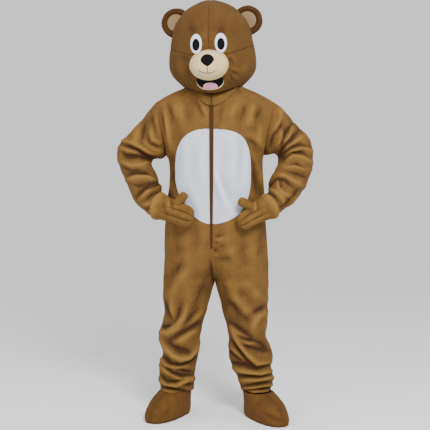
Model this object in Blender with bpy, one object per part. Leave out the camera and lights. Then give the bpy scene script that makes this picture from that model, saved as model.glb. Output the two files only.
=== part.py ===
# A worn bear costume: velour jumpsuit with belly patch and zip, mittens, shoe covers and a padded head.
# Heights in the tables are above the floor. The origin is inside the neck, level with the shoulders.
# The front faces -Y. "right" and "left" are the wearer's own, so right is on -X.

import math

import bmesh
import bpy
import numpy as np
from mathutils import Matrix, Vector

# Driving sizes, in metres
ORIGIN_HEIGHT = 1.44
SEAM_GAP = 0.0003
# Gap where a piece is seated on the padded head, and between the head and the shoulders
HEAD_GAP = 0.0009
SEAT_GAP = 0.0023
CLOTH = 0.0025
TORSO_POWER = 2.2
LEG_POWER = 2.1

# Suit shoulders, neck and armholes
NECK_HALF_WIDTH = 0.0842
NECK_HEIGHT = 1.476
NECK_FRONT_DROP = 0.086
NECK_BACK_DROP = 0.016
NECK_FRONT_DEPTH = 0.078
NECK_BACK_DEPTH = 0.070
SHOULDER_TIP_X = 0.260
SHOULDER_TIP_HEIGHT = 1.400
SHOULDER_BOW = 1.35
UNDERARM_X = 0.214
UNDERARM_HEIGHT = 1.165
SHOULDER_ROUND = 0.105
CROTCH_HEIGHT = 0.600
CROTCH_START_HEIGHT = 0.760
CROTCH_HOOK = 3.2
# The front's middle hangs to the wearer's right. The reach of that shift: across, in depth and up
FRONT_SHIFT = -0.016
SHIFT_HALF_WIDTH = 0.13
SHIFT_DEPTH = 0.07
SHIFT_HEIGHT = 0.18

# Columns of a panel, as shares of the way from the middle seam to the side seam
PANEL_COLUMNS = (0.0, 0.10, 0.21, 0.335, 0.475, 0.62, 0.76, 0.89, 1.0)
# Rows above the underarm, as shares of the way down from the shoulder
YOKE_ROWS = (0.0, 0.035, 0.10, 0.20, 0.35, 0.55, 0.78, 1.0)

# height, middle x, half width, front depth, back depth
TORSO = (
    (1.480, 0.000, 0.330, 0.100, 0.110),
    (1.400, 0.000, 0.318, 0.118, 0.124),
    (1.300, 0.000, 0.280, 0.136, 0.132),
    (1.220, 0.000, 0.236, 0.145, 0.130),
    (1.165, 0.002, 0.212, 0.149, 0.126),
    (1.100, 0.006, 0.205, 0.152, 0.120),
    (1.040, 0.007, 0.208, 0.155, 0.117),
    (0.960, 0.003, 0.216, 0.157, 0.120),
    (0.880, 0.002, 0.222, 0.154, 0.128),
    (0.800, 0.003, 0.227, 0.147, 0.136),
    (0.700, 0.006, 0.231, 0.138, 0.138),
    (0.600, 0.004, 0.235, 0.130, 0.128),
)

# height, inner x and outer x of the right leg, inner x and outer x of the left leg, middle y, half depth
LEGS = (
    (0.600, -0.0002, -0.231, 0.0002, 0.239, 0.002, 0.127),
    (0.570, -0.0110, -0.232, 0.0080, 0.238, 0.003, 0.124),
    (0.520, -0.0250, -0.232, 0.0230, 0.238, 0.004, 0.119),
    (0.460, -0.0400, -0.227, 0.0360, 0.236, 0.004, 0.113),
    (0.410, -0.0550, -0.238, 0.0500, 0.235, 0.003, 0.107),
    (0.375, -0.0630, -0.250, 0.0580, 0.228, 0.000, 0.103),
    (0.345, -0.0680, -0.252, 0.0620, 0.229, -0.001, 0.101),
    (0.315, -0.0710, -0.241, 0.0630, 0.247, 0.000, 0.098),
    (0.285, -0.0720, -0.232, 0.0620, 0.259, 0.002, 0.096),
    (0.262, -0.0760, -0.234, 0.0630, 0.262, 0.004, 0.094),
    (0.246, -0.0790, -0.251, 0.0640, 0.261, 0.005, 0.096),
    (0.231, -0.0850, -0.249, 0.0700, 0.252, 0.006, 0.089),
    (0.216, -0.0870, -0.254, 0.0730, 0.256, 0.007, 0.094),
    (0.201, -0.0910, -0.248, 0.0820, 0.251, 0.008, 0.086),
    (0.186, -0.0880, -0.256, 0.0880, 0.260, 0.009, 0.091),
    (0.171, -0.0940, -0.251, 0.1000, 0.262, 0.010, 0.083),
    (0.156, -0.0920, -0.258, 0.1040, 0.269, 0.010, 0.087),
    (0.141, -0.0950, -0.251, 0.1110, 0.261, 0.011, 0.080),
    (0.126, -0.0910, -0.256, 0.1120, 0.264, 0.011, 0.083),
    (0.112, -0.0960, -0.243, 0.1220, 0.251, 0.011, 0.074),
)

# outer x, outer height, inner x, inner height, middle y, half depth
SLEEVE_RIGHT = (
    (-0.299, 1.350, -0.236, 1.152, 0.002, 0.080),
    (-0.337, 1.303, -0.262, 1.148, 0.006, 0.078),
    (-0.389, 1.252, -0.278, 1.146, 0.012, 0.074),
    (-0.426, 1.213, -0.285, 1.138, 0.018, 0.078),
    (-0.436, 1.163, -0.287, 1.126, 0.018, 0.072),
    (-0.423, 1.112, -0.279, 1.106, 0.008, 0.076),
    (-0.404, 1.070, -0.262, 1.080, -0.008, 0.068),
    (-0.388, 1.036, -0.250, 1.052, -0.026, 0.070),
    (-0.370, 1.000, -0.238, 1.026, -0.046, 0.064),
    (-0.347, 0.958, -0.236, 1.003, -0.066, 0.062),
)
SLEEVE_LEFT = (
    (0.308, 1.358, 0.238, 1.168, 0.002, 0.080),
    (0.347, 1.312, 0.256, 1.174, 0.006, 0.078),
    (0.390, 1.271, 0.269, 1.172, 0.012, 0.074),
    (0.422, 1.233, 0.280, 1.160, 0.018, 0.078),
    (0.435, 1.184, 0.284, 1.142, 0.020, 0.072),
    (0.436, 1.134, 0.280, 1.116, 0.012, 0.076),
    (0.427, 1.090, 0.266, 1.090, -0.004, 0.070),
    (0.412, 1.056, 0.248, 1.060, -0.022, 0.072),
    (0.394, 1.024, 0.236, 1.037, -0.044, 0.066),
    (0.356, 0.976, 0.236, 1.012, -0.066, 0.064),
)
SLEEVE_ARMHOLE_BLEND = (0.35, 0.75)
# The sleeve's gathered end is tucked inside the mitten's cuff: distance past the cuff's edge
SLEEVE_END_STEPS = (-0.004, 0.005)
SLEEVE_END_CLEARANCE = 0.0022

# x, y, height, half width across the hand, half thickness
MITTEN_RIGHT = (
    (-0.249, -0.108, 0.945, 0.056, 0.054),
    (-0.240, -0.114, 0.942, 0.056, 0.052),
    (-0.208, -0.135, 0.932, 0.052, 0.042),
    (-0.178, -0.150, 0.921, 0.048, 0.031),
    (-0.148, -0.163, 0.911, 0.048, 0.026),
    (-0.122, -0.171, 0.901, 0.047, 0.024),
    (-0.104, -0.175, 0.894, 0.038, 0.019),
    (-0.094, -0.176, 0.891, 0.022, 0.011),
)
MITTEN_LEFT = (
    (0.241, -0.108, 0.946, 0.056, 0.054),
    (0.232, -0.114, 0.941, 0.055, 0.052),
    (0.204, -0.135, 0.930, 0.051, 0.042),
    (0.176, -0.150, 0.914, 0.045, 0.031),
    (0.150, -0.162, 0.899, 0.041, 0.026),
    (0.126, -0.170, 0.883, 0.039, 0.024),
    (0.110, -0.174, 0.872, 0.031, 0.019),
    (0.102, -0.175, 0.867, 0.018, 0.011),
)
MITTEN_CLOTH = 0.004
# Places across the hand, from its thumb edge to its little finger, with stitched valleys at a third each side
MITTEN_ACROSS = (1.0, 0.90, 0.667, 0.333, 0.0, -0.333, -0.667, -0.90, -1.0)
FINGER_VALLEY = 0.30
FINGER_START_ROW = 3
FINGERTIP_REACH = 0.004
# base and tip of each thumb, with its radius
THUMB_RIGHT = ((-0.176, -0.160, 0.944), (-0.134, -0.176, 0.990), 0.0185)
THUMB_LEFT = ((0.168, -0.160, 0.938), (0.116, -0.182, 0.965), 0.0195)
# Share of the thumb's length, share of its radius
THUMB_PROFILE = ((0.00, 0.00), (0.12, 0.80), (0.45, 1.00), (0.75, 1.04), (0.92, 0.80), (1.00, 0.00))
THUMB_SEGMENTS = 12

# Shoe covers: ankle x, ankle y, outward turn in degrees
SHOE_RIGHT = (-0.1700, 0.014, -31.0)
SHOE_LEFT = (0.1885, -0.032, 29.0)
SHOE_TOP_HEIGHT = 0.1113
SHOE_TOP_HALF_WIDTH = 0.064
SHOE_TOP_HALF_LENGTH = 0.068
SHOE_HEEL = 0.076
SHOE_TOE = 0.219
SHOE_HEEL_HALF_WIDTH = 0.041
SHOE_BALL_HALF_WIDTH = 0.076
SHOE_POWER = 2.4
SHOE_INSTEP_DIP = 0.16
SOLE_THICKNESS = 0.004
SHOE_ROWS = (0.0, 0.16, 0.32, 0.48, 0.64, 0.78, 0.90, 1.0)
SHOE_COLUMNS = 12

# Zip and belly patch
ZIP_HALF_WIDTH = 0.009
ZIP_GROOVE = 0.001
ZIP_TOP_HEIGHT = 1.380
ZIP_BOTTOM_HEIGHT = 0.761
ZIP_THICKNESS = 0.0015
BELLY_MIDDLE_HEIGHT = 1.072
BELLY_HALF_HEIGHT = 0.203
# Half widths of the patch on the wearer's right and left
BELLY_HALF_WIDTHS = {-1: 0.172, 1: 0.154}
# how square it is above and below its middle, on each side
BELLY_POWERS = {-1: (3.2, 1.8), 1: (3.2, 2.25)}
BELLY_THICKNESS = 0.002
BELLY_CLEARANCE = 0.0020
BELLY_ROWS = 18
BELLY_ROW_SPACE = 0.10

# Collar, as steps from the neck seam: share of its fall along the suit, and rise off the suit
COLLAR_STEPS = ((0.00, 0.0038), (0.02, 0.014), (0.14, 0.020), (0.45, 0.015), (1.00, 0.0055))
COLLAR_SIDE_FALL = 0.019
COLLAR_FRONT_FALL = 0.030
COLLAR_COLUMNS = 12
COLLAR_CLOTH = 0.002

# Head: height, half width, front depth, back depth
HEAD = (
    (1.8450, 0.000, 0.000, 0.000),
    (1.8400, 0.040, 0.040, 0.044),
    (1.8220, 0.080, 0.081, 0.086),
    (1.7950, 0.117, 0.121, 0.127),
    (1.7600, 0.146, 0.150, 0.158),
    (1.7180, 0.167, 0.173, 0.180),
    (1.6720, 0.177, 0.186, 0.189),
    (1.6250, 0.186, 0.191, 0.190),
    (1.5800, 0.191, 0.191, 0.184),
    (1.5400, 0.187, 0.186, 0.172),
    (1.5080, 0.168, 0.174, 0.154),
    (1.4820, 0.143, 0.160, 0.136),
    (1.4600, 0.120, 0.146, 0.120),
    (1.4280, 0.090, 0.118, 0.095),
)
HEAD_X = -0.010
HEAD_Y = 0.000
HEAD_TURN = -5.0
# The head leans to the wearer's right about this height, in degrees
HEAD_LEAN = -1.5
HEAD_LEAN_HEIGHT = 1.58
HEAD_WALL = 0.006
HEAD_POWER = 2.15
CHEEK_SEAM_HEIGHT = 1.578
CHEEK_SEAM_RISE = 0.060
BROW_ROWS = 7
JAW_ROWS = 6
BACK_ROWS = 12
HEAD_COLUMNS = 7
CHIN_DROP = 0.036
NAPE_RISE = 0.006
# A first guess of the rim's height, from which its seat on the shoulders is worked out
SEAT_START = 1.468

# Face, in the head's own frame
MUZZLE_HEIGHT = 1.545
MUZZLE_HALF_WIDTH = 0.083
MUZZLE_HALF_HEIGHT = 0.064
MUZZLE_Y = -0.165
MUZZLE_REACH = 0.100
MUZZLE_SAG = 0.006
MUZZLE_SEGMENTS = 20
# From the root to the rounded end: share of the reach, share of the full size
MUZZLE_PROFILE = (
    (-0.35, 0.80),
    (0.00, 0.97),
    (0.25, 1.00),
    (0.50, 0.93),
    (0.72, 0.78),
    (0.88, 0.56),
    (0.97, 0.30),
    (1.00, 0.00),
)
EYE_X = 0.052
EYE_HEIGHT = 1.634
# Half width and half height of the felt ovals
EYE_SIZE = (0.025, 0.042)
PUPIL_SIZE = (0.0155, 0.0250)
PUPIL_DROP = 0.004
FELT = 0.003
DISC_SEGMENTS = 16
NOSE_HEIGHT = 1.556
NOSE_Y = -0.252
NOSE_HALF_WIDTH = 0.028
NOSE_HALF_HEIGHT = 0.026
NOSE_REACH = 0.022
NOSE_NARROWING = 0.38
NOSE_SEGMENTS = 18
# From inside the muzzle outwards: share of the reach, share of the full size
NOSE_PROFILE = ((-0.50, 0.88), (0.25, 1.00), (0.62, 0.90), (0.88, 0.62), (1.00, 0.00))
MOUTH_TOP_HEIGHT = 1.492
MOUTH_BOTTOM_HEIGHT = 1.449
MOUTH_HALF_WIDTH = 0.058
MOUTH_POWER = 2.4
TONGUE_HALF_WIDTH = 0.032
TONGUE_HEIGHT = 0.020
TRIM_WIDTH = 0.006
EAR_X = 0.158
EAR_Y = 0.004
EAR_HEIGHT = 1.752
# Ear profile from the middle of its front round the rim to the middle of its back: radius, y
EAR_PROFILE = (
    (0.000, -0.010),
    (0.036, -0.012),
    (0.050, -0.020),
    (0.061, -0.016),
    (0.066, -0.002),
    (0.060, 0.012),
    (0.040, 0.018),
    (0.000, 0.020),
)
EAR_LINING_RADIUS = 0.038
EAR_LINING = 0.003
EAR_SEGMENTS = 20

SUIT_BROWN = (0.270, 0.137, 0.045, 1.0)
HEAD_BROWN = (0.290, 0.148, 0.050, 1.0)
DARK_BROWN = (0.130, 0.045, 0.010, 1.0)
WHITE = (0.620, 0.640, 0.680, 1.0)
CREAM = (0.760, 0.650, 0.470, 1.0)
BEIGE = (0.380, 0.260, 0.170, 1.0)
BLACK = (0.006, 0.005, 0.005, 1.0)
PINK = (0.600, 0.280, 0.370, 1.0)

for old in list(bpy.data.objects):
    bpy.data.objects.remove(old, do_unlink=True)


def material(name, colour, roughness=0.9):
    """A plain cloth finish in the piece's colour."""
    made = bpy.data.materials.new(name)
    made.use_nodes = True
    shader = made.node_tree.nodes["Principled BSDF"]
    shader.inputs["Base Color"].default_value = colour
    shader.inputs["Roughness"].default_value = roughness
    shader.inputs["Metallic"].default_value = 0.0
    return made


def look_up(table, height):
    """A row of the table at this height, on a smooth curve through its rows."""
    rows = np.array(table)[::-1]
    heights = rows[:, 0]
    slopes = np.gradient(rows, heights, axis=0)
    index = int(np.clip(np.searchsorted(heights, height) - 1, 0, len(heights) - 2))
    span = heights[index + 1] - heights[index]
    share = np.clip((height - heights[index]) / span, 0.0, 1.0)
    square, cube = share**2, share**3
    return (
        (2 * cube - 3 * square + 1) * rows[index]
        + (cube - 2 * square + share) * span * slopes[index]
        + (3 * square - 2 * cube) * rows[index + 1]
        + (cube - square) * span * slopes[index + 1]
    )


def full_turn(count):
    """This many even angles round a circle."""
    return np.linspace(0, 2 * math.pi, count + 1)[:-1]


def oval(share, power):
    """How far out an oval reaches, as a share, this share of the way along its other axis."""
    return max(0.0, 1.0 - min(abs(share), 1.0) ** power) ** (1.0 / power)


def grid_mesh(grid, wrap):
    """Shared points, the corner index of each place in the grid, and its faces."""
    rows, columns = grid.shape[:2]
    points, index = np.unique(
        np.round(grid.reshape(-1, 3), 7), axis=0, return_inverse=True
    )
    index = index.reshape(rows, columns)
    faces = []
    for row in range(rows - 1):
        for column in range(columns if wrap else columns - 1):
            after = (column + 1) % columns
            first, second = index[row, column], index[row + 1, column]
            third, fourth = index[row + 1, after], index[row, after]
            for face in ([first, second, third], [first, third, fourth]):
                if len(set(face)) == 3:
                    faces.append(face)
    return points, index, faces


def point_normals(points, faces, inside):
    """A unit normal for each point, turned away from a place inside the piece."""
    normals = np.zeros_like(points)
    for face in faces:
        first, second, third = points[face]
        normals[face] += np.cross(second - first, third - first)
    normals /= np.maximum(np.linalg.norm(normals, axis=1, keepdims=True), 1e-12)
    away = (normals * (points - np.array(inside))).sum()
    return -normals if away < 0 else normals


def add_object(name, points, faces, finish, place=None):
    """A smooth-shaded object whose faces point outwards, moved so that the shoulders are at the origin."""
    mesh = bpy.data.meshes.new(name)
    corners = [list(map(int, face)) for face in faces]
    mesh.from_pydata([tuple(point) for point in points], [], corners)
    if place is not None:
        mesh.transform(place)
    mesh.transform(Matrix.Translation((0.0, 0.0, -ORIGIN_HEIGHT)))
    work = bmesh.new()
    work.from_mesh(mesh)
    bmesh.ops.recalc_face_normals(work, faces=work.faces)
    bmesh.ops.triangulate(work, faces=work.faces)
    work.to_mesh(mesh)
    work.free()
    mesh.shade_smooth()
    mesh.set_sharp_from_angle(angle=math.radians(50))
    made = bpy.data.objects.new(name, mesh)
    made.data.materials.append(finish)
    bpy.context.scene.collection.objects.link(made)
    return made


def eased(share):
    """0 to 1 with a soft start and end."""
    share = np.clip(share, 0.0, 1.0)
    return share * share * (3 - 2 * share)


def shift_front(points):
    """Moves the middle of the suit's front aside, and leaves its side, shoulder and leg seams alone."""
    across = np.clip(1.0 - (points[:, 0] / SHIFT_HALF_WIDTH) ** 2, 0.0, 1.0) ** 2
    depth = eased(-points[:, 1] / SHIFT_DEPTH)
    up = eased((points[:, 2] - CROTCH_HEIGHT) / SHIFT_HEIGHT)
    moved = points.copy()
    moved[:, 0] += FRONT_SHIFT * across * depth * up
    return moved


def wall(name, grid, finish, low, high, inside, wrap=False, hold=None, place=None, shift=None):
    """A closed sheet between two distances from the grid. Hold keeps its edges in their seam planes."""
    grid = np.array(grid, float)
    points, index, faces = grid_mesh(grid, wrap)
    normals = point_normals(points, faces, inside)
    outer = points + normals * high
    inner = points + normals * low
    if hold is not None:
        for row in range(grid.shape[0]):
            for column in range(grid.shape[1]):
                at = index[row, column]
                outer[at] = hold(row, column, points[at], outer[at])
                inner[at] = hold(row, column, points[at], inner[at])
    if shift is not None:
        outer, inner = shift(outer), shift(inner)
    count = len(points)
    used = {}
    for face in faces:
        for start, end in zip(face, face[1:] + face[:1]):
            used[(start, end)] = True
    shell = [list(face) for face in faces]
    shell += [[corner + count for corner in reversed(face)] for face in faces]
    shell += [
        [end, start, start + count, end + count]
        for start, end in used
        if (end, start) not in used
    ]
    return add_object(name, np.vstack([outer, inner]), shell, finish, place)


def solid(name, grid, finish, place=None):
    """A closed body from rings, with its first and last ring filled."""
    points, index, faces = grid_mesh(np.array(grid, float), True)
    ends = [list(index[0]), list(index[-1])]
    faces += [end for end in ends if len(set(end)) > 2]
    return add_object(name, points, faces, finish, place)


def cut_away(piece, cutter):
    """Takes the cutter's space out of the piece."""
    cutter.hide_render = True
    cutter.display_type = "WIRE"
    cut = piece.modifiers.new("Cut", "BOOLEAN")
    cut.operation = "DIFFERENCE"
    cut.solver = "EXACT"
    cut.object = cutter


# Suit body

def shoulder_line(x, front):
    """Height of the neckline and shoulder seam at this distance from the middle."""
    x = abs(x)
    if x < NECK_HALF_WIDTH:
        drop = NECK_FRONT_DROP if front else NECK_BACK_DROP
        return NECK_HEIGHT - drop * (1.0 - (x / NECK_HALF_WIDTH) ** 1.6)
    share = (x - NECK_HALF_WIDTH) / (SHOULDER_TIP_X - NECK_HALF_WIDTH)
    return NECK_HEIGHT - (NECK_HEIGHT - SHOULDER_TIP_HEIGHT) * share**SHOULDER_BOW


def yoke_depth(x, height, front):
    """Depth of the suit in front of or behind the shoulder seam, above the underarm."""
    _, _, half_width, front_depth, back_depth = look_up(TORSO, height)
    depth = front_depth if front else back_depth
    full = depth * oval(x / half_width, TORSO_POWER)
    drop = min(max(shoulder_line(x, front) - height, 0.0) / SHOULDER_ROUND, 1.0)
    rounded = math.sqrt(1.0 - (1.0 - drop) ** 2)
    neck = NECK_FRONT_DEPTH if front else NECK_BACK_DEPTH
    start = neck * oval(x / NECK_HALF_WIDTH, 2.0)
    return start + (full - start) * rounded


def yoke_row(share, side, front):
    """Points from the middle seam to the armhole, this share of the way down to the underarm."""
    row = []
    for column in PANEL_COLUMNS:
        reach = SHOULDER_TIP_X - (SHOULDER_TIP_X - UNDERARM_X) * share
        x = reach * math.sin(math.pi / 2 * column)
        top = shoulder_line(x / reach * SHOULDER_TIP_X, front)
        height = top - (top - UNDERARM_HEIGHT) * share
        y = yoke_depth(x / reach * min(reach, look_up(TORSO, height)[2]), height, front)
        row.append([side * x, -y if front else y, height])
    return row


def torso_point(column, height, side, front):
    """A point of the suit between underarm and crotch."""
    _, middle, half_width, front_depth, back_depth = look_up(TORSO, height)
    depth = front_depth if front else back_depth
    turn = math.pi / 2 * column
    x = math.sin(turn)
    return np.array([middle * x * side + half_width * x, depth * oval(x, TORSO_POWER)])


def leg_point(column, height, side):
    """A point of a leg, from the inseam round to the side seam."""
    row = look_up(LEGS, height)
    inner, outer = (row[3], row[4]) if side > 0 else (-row[1], -row[2])
    turn = math.pi * column
    across = -math.cos(turn)
    middle, half = (inner + outer) / 2, (outer - inner) / 2
    return np.array([middle + half * across, row[6] * oval(across, LEG_POWER)]), row[5]


def lower_row(height, side, front):
    """Points from the middle seam or inseam to the side seam, at one height below the underarm."""
    share = (CROTCH_START_HEIGHT - height) / (CROTCH_START_HEIGHT - CROTCH_HEIGHT)
    share = min(max(share, 0.0), 1.0) ** CROTCH_HOOK
    row = []
    for column in PANEL_COLUMNS:
        torso = torso_point(column, max(height, CROTCH_HEIGHT), side, front)
        leg, middle = leg_point(column, min(height, CROTCH_HEIGHT), side)
        x, y = torso + (leg - torso) * share
        middle *= share
        row.append([side * x, middle - y if front else middle + y, height])
    return row


def panel_grid(side, front):
    """The whole panel, shoulder to ankle, with its edges held off the seams."""
    heights = [1.10, 1.03, 0.96, 0.88, 0.80, 0.73, 0.68, 0.645, 0.618]
    heights += [row[0] for row in LEGS]
    rows = [yoke_row(share, side, front) for share in YOKE_ROWS]
    rows += [lower_row(height, side, front) for height in heights]
    grid = np.array(rows)
    off = SEAM_GAP / 2
    grid[..., 1] += -off if front else off
    grid[..., 0] = np.where(np.abs(grid[..., 0]) < off, side * off, grid[..., 0])
    return grid


def armhole_x(height):
    slope = (SHOULDER_TIP_X - UNDERARM_X) / (SHOULDER_TIP_HEIGHT - UNDERARM_HEIGHT)
    return SHOULDER_TIP_X - slope * (SHOULDER_TIP_HEIGHT - height)


def panel_hold(side, grid):
    """Keeps the wall's edges in the middle, shoulder, armhole and side seam planes."""
    last = len(PANEL_COLUMNS) - 1

    def hold(row, column, start, moved):
        moved = moved.copy()
        height = start[2]
        if row == 0 and abs(start[0]) >= NECK_HALF_WIDTH - 0.001:
            moved[1] = start[1]
        if column == 0:
            axis = 0 if height >= CROTCH_HEIGHT - 1e-6 else 1
            moved[axis] = start[axis]
            if abs(height - CROTCH_HEIGHT) < 1e-6:
                moved[1] = start[1]
        if column == last:
            if row < len(YOKE_ROWS) - 1:
                moved[0] = side * armhole_x(moved[2])
            else:
                moved[1] = start[1]
        if row == grid.shape[0] - 1:
            moved[2] = start[2]
        return moved

    return hold


def make_panels(finish):
    grids = {}
    for front in (True, False):
        for side in (-1, 1):
            grid = panel_grid(side, front)
            name = f"{'front' if front else 'back'}_{'right' if side < 0 else 'left'}"
            shift = shift_front if front else None
            hold = panel_hold(side, grid)
            wall(name, grid, finish, -CLOTH, 0.0, (0.0, 0.0, 1.0), hold=hold, shift=shift)
            grids[(side, front)] = grid
    return grids


def unit(vector):
    return vector / np.linalg.norm(vector)


def mitten_axes(table, number):
    """Directions along the hand, across it and away from the palm at one ring."""
    middles = np.array(table)[:, :3]
    along = unit(middles[min(number + 1, len(middles) - 1)] - middles[max(number - 1, 0)])
    thick = unit(np.cross(np.array([0.0, 0.0, 1.0]), along))
    thick = thick if thick[1] < 0 else -thick
    wide = unit(np.cross(along, thick))
    return along, wide if wide[2] > 0 else -wide, thick


def make_sleeve(name, table, mitten, side, grids, finish):
    """A bent tube whose first ring follows the armhole and whose last rings sit inside the mitten."""
    count = len(YOKE_ROWS)
    front = grids[(side, True)][:count, -1]
    back = grids[(side, False)][:count, -1]
    shift = np.array([side * SEAM_GAP, 0.0, 0.0])
    top, bottom = (front[:1] + back[:1]) / 2, (front[-1:] + back[-1:]) / 2
    ring = np.vstack([top, front[1:-1], bottom, back[-2:0:-1]]) + shift
    armhole_middle = (ring[0] + ring[count - 1]) / 2
    half = (ring[0] - ring[count - 1]) / 2
    across = np.array([np.dot(point - armhole_middle, half) / np.dot(half, half) for point in ring])
    angles = np.arccos(np.clip(across, -1, 1))
    angles[count:] = 2 * math.pi - angles[count:]
    rows = [ring]
    middles = [armhole_middle] + [
        np.array([(row[0] + row[2]) / 2, row[4], (row[1] + row[3]) / 2]) for row in table
    ]
    even = full_turn(len(ring))
    for number, row in enumerate(table, 1):
        outward = np.array([row[0] - row[2], 0.0, row[1] - row[3]]) / 2
        behind = middles[number - 1]
        ahead = middles[min(number + 1, len(middles) - 1)]
        depth = unit(np.cross(outward, ahead - behind))
        depth = -depth if depth[1] > 0 else depth
        blend = SLEEVE_ARMHOLE_BLEND[number - 1] if number <= len(SLEEVE_ARMHOLE_BLEND) else 1.0
        turns = angles + (even - angles) * blend
        ring = []
        for turn in turns:
            away = outward * math.cos(turn) + depth * row[5] * math.sin(turn)
            ring.append(middles[number] + away)
        rows.append(ring)
    along, wide, thick = mitten_axes(mitten, 0)
    slim = MITTEN_CLOTH + SLEEVE_END_CLEARANCE
    for step in SLEEVE_END_STEPS:
        middle = np.array(mitten[0][:3]) + along * step
        ring = []
        for turn in even:
            away = unit(outward) * math.cos(turn) + depth * math.sin(turn)
            away = unit(away - along * np.dot(away, along))
            wide_share = np.dot(away, wide) / (mitten[0][3] - slim)
            thick_share = np.dot(away, thick) / (mitten[0][4] - slim)
            ring.append(middle + away / math.hypot(wide_share, thick_share))
        rows.append(ring)
    grid = np.array(rows)

    def hold(row, column, start, moved):
        moved = moved.copy()
        if row == 0:
            moved[0] = side * (armhole_x(moved[2]) + SEAM_GAP)
        return moved

    inside = tuple(middles[5])
    return wall(name, grid, finish, -CLOTH, 0.0, inside, wrap=True, hold=hold)


def suit_run(start, away, lengths):
    """Points and normals of the suit at these lengths from the neck, walking straight away from it."""
    outs = np.linspace(0.0, 0.05, 51)
    run = [np.array([start[0] + away[0] * out, start[1] + away[1] * out, 0.0]) for out in outs]
    for point in run:
        point[2] = suit_top(point[0], point[1])
    run[0][2] = start[2]
    run = np.array(run)
    walked = np.concatenate([[0.0], np.cumsum(np.linalg.norm(np.diff(run, axis=0), axis=1))])
    found = []
    for length in lengths:
        spot = np.array([np.interp(length, walked, run[:, axis]) for axis in range(3)])
        ahead = np.array([np.interp(length + 0.004, walked, run[:, axis]) for axis in range(3)])
        along = unit(ahead - spot)
        side = np.array([-away[1], away[0], 0.0])
        out = unit(np.cross(side, along))
        found.append((spot, out if out[2] > 0 else -out))
    return found


def make_collar(finish):
    """A turned-down collar round the neckline, open at the front."""
    columns = []
    turns = np.linspace(-0.5 * math.pi + 0.06, 1.5 * math.pi - 0.06, 2 * COLLAR_COLUMNS + 1)
    for turn in turns:
        front = math.sin(turn) < 0
        depth = NECK_FRONT_DEPTH if front else NECK_BACK_DEPTH
        x, y = NECK_HALF_WIDTH * math.cos(turn), depth * math.sin(turn)
        start = np.array([x, y, shoulder_line(x, front)])
        away = unit(np.array([math.cos(turn), math.sin(turn), 0.0]))
        fall = COLLAR_SIDE_FALL + (COLLAR_FRONT_FALL - COLLAR_SIDE_FALL) * max(-math.sin(turn), 0.0)
        run = suit_run(start, away, [share * fall for share, _ in COLLAR_STEPS])
        columns.append([spot + out * rise for (spot, out), (_, rise) in zip(run, COLLAR_STEPS)])
    grid = np.array(columns).transpose(1, 0, 2)
    half = COLLAR_CLOTH / 2
    return wall("collar", grid, finish, -half, half, (0.0, 0.0, 1.30), shift=shift_front)


def on_front(grids, x, height):
    """The point of the front panel's outside at this x and height."""
    grid = grids[(1 if x >= 0 else -1, True)]
    flat = grid[..., [0, 2]]
    spot = np.array([x, height])
    for row in range(grid.shape[0] - 1):
        if not flat[row + 1, :, 1].min() - 1e-6 <= height <= flat[row, :, 1].max() + 1e-6:
            continue
        for column in range(grid.shape[1] - 1):
            corners = ((row, column), (row + 1, column), (row + 1, column + 1), (row, column + 1))
            for picked in ((0, 1, 2), (0, 2, 3)):
                a, b, c = (flat[corners[i]] for i in picked)
                sides = np.array([b - a, c - a]).T
                if abs(np.linalg.det(sides)) < 1e-12:
                    continue
                second, third = np.linalg.solve(sides, spot - a)
                if min(second, third) >= -1e-4 and second + third <= 1.0001:
                    depths = [grid[corners[i]][1] for i in picked]
                    y = depths[0] * (1 - second - third) + depths[1] * second + depths[2] * third
                    return np.array([x, y, height])
    raise ValueError(f"no front panel at {x:.3f}, {height:.3f}")


def make_zip(grids, finish):
    """Two tapes that lie on the front panels beside the middle seam."""
    for side in (-1, 1):
        seam = grids[(side, True)][:, 0, 2]
        folds = [height for height in seam if ZIP_BOTTOM_HEIGHT < height < ZIP_TOP_HEIGHT]
        heights = [ZIP_TOP_HEIGHT] + folds + [ZIP_BOTTOM_HEIGHT]
        name = f"zip_tape_{'right' if side < 0 else 'left'}"
        grid = [
            [on_front(grids, side * x, height) for x in (ZIP_GROOVE, ZIP_HALF_WIDTH)]
            for height in heights
        ]
        low = SEAM_GAP * 3
        wall(name, grid, finish, low, low + ZIP_THICKNESS, (0.0, 0.0, 1.0), shift=shift_front)


def belly_share(point):
    """Under 1 inside the patch's outline, 1 on it."""
    side = 1 if point[0] > 0 else -1
    up = (point[2] - BELLY_MIDDLE_HEIGHT) / BELLY_HALF_HEIGHT
    power = BELLY_POWERS[side][0 if up > 0 else 1]
    return (abs(point[0]) / BELLY_HALF_WIDTHS[side]) ** power + abs(up) ** power


def clipped(row):
    """The row's points up to the patch's outline. Those past it stop where the row crosses it."""
    kept = [row[0]]
    for before, after in zip(row, row[1:]):
        last = belly_share(kept[-1]) >= 0.999
        if last or belly_share(after) <= 1.0:
            kept.append(kept[-1] if last else after)
            continue
        low, high = 0.0, 1.0
        for _ in range(30):
            middle = (low + high) / 2
            if belly_share(before + (after - before) * middle) < 1.0:
                low = middle
            else:
                high = middle
        kept.append(before + (after - before) * high)
    return kept


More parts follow.
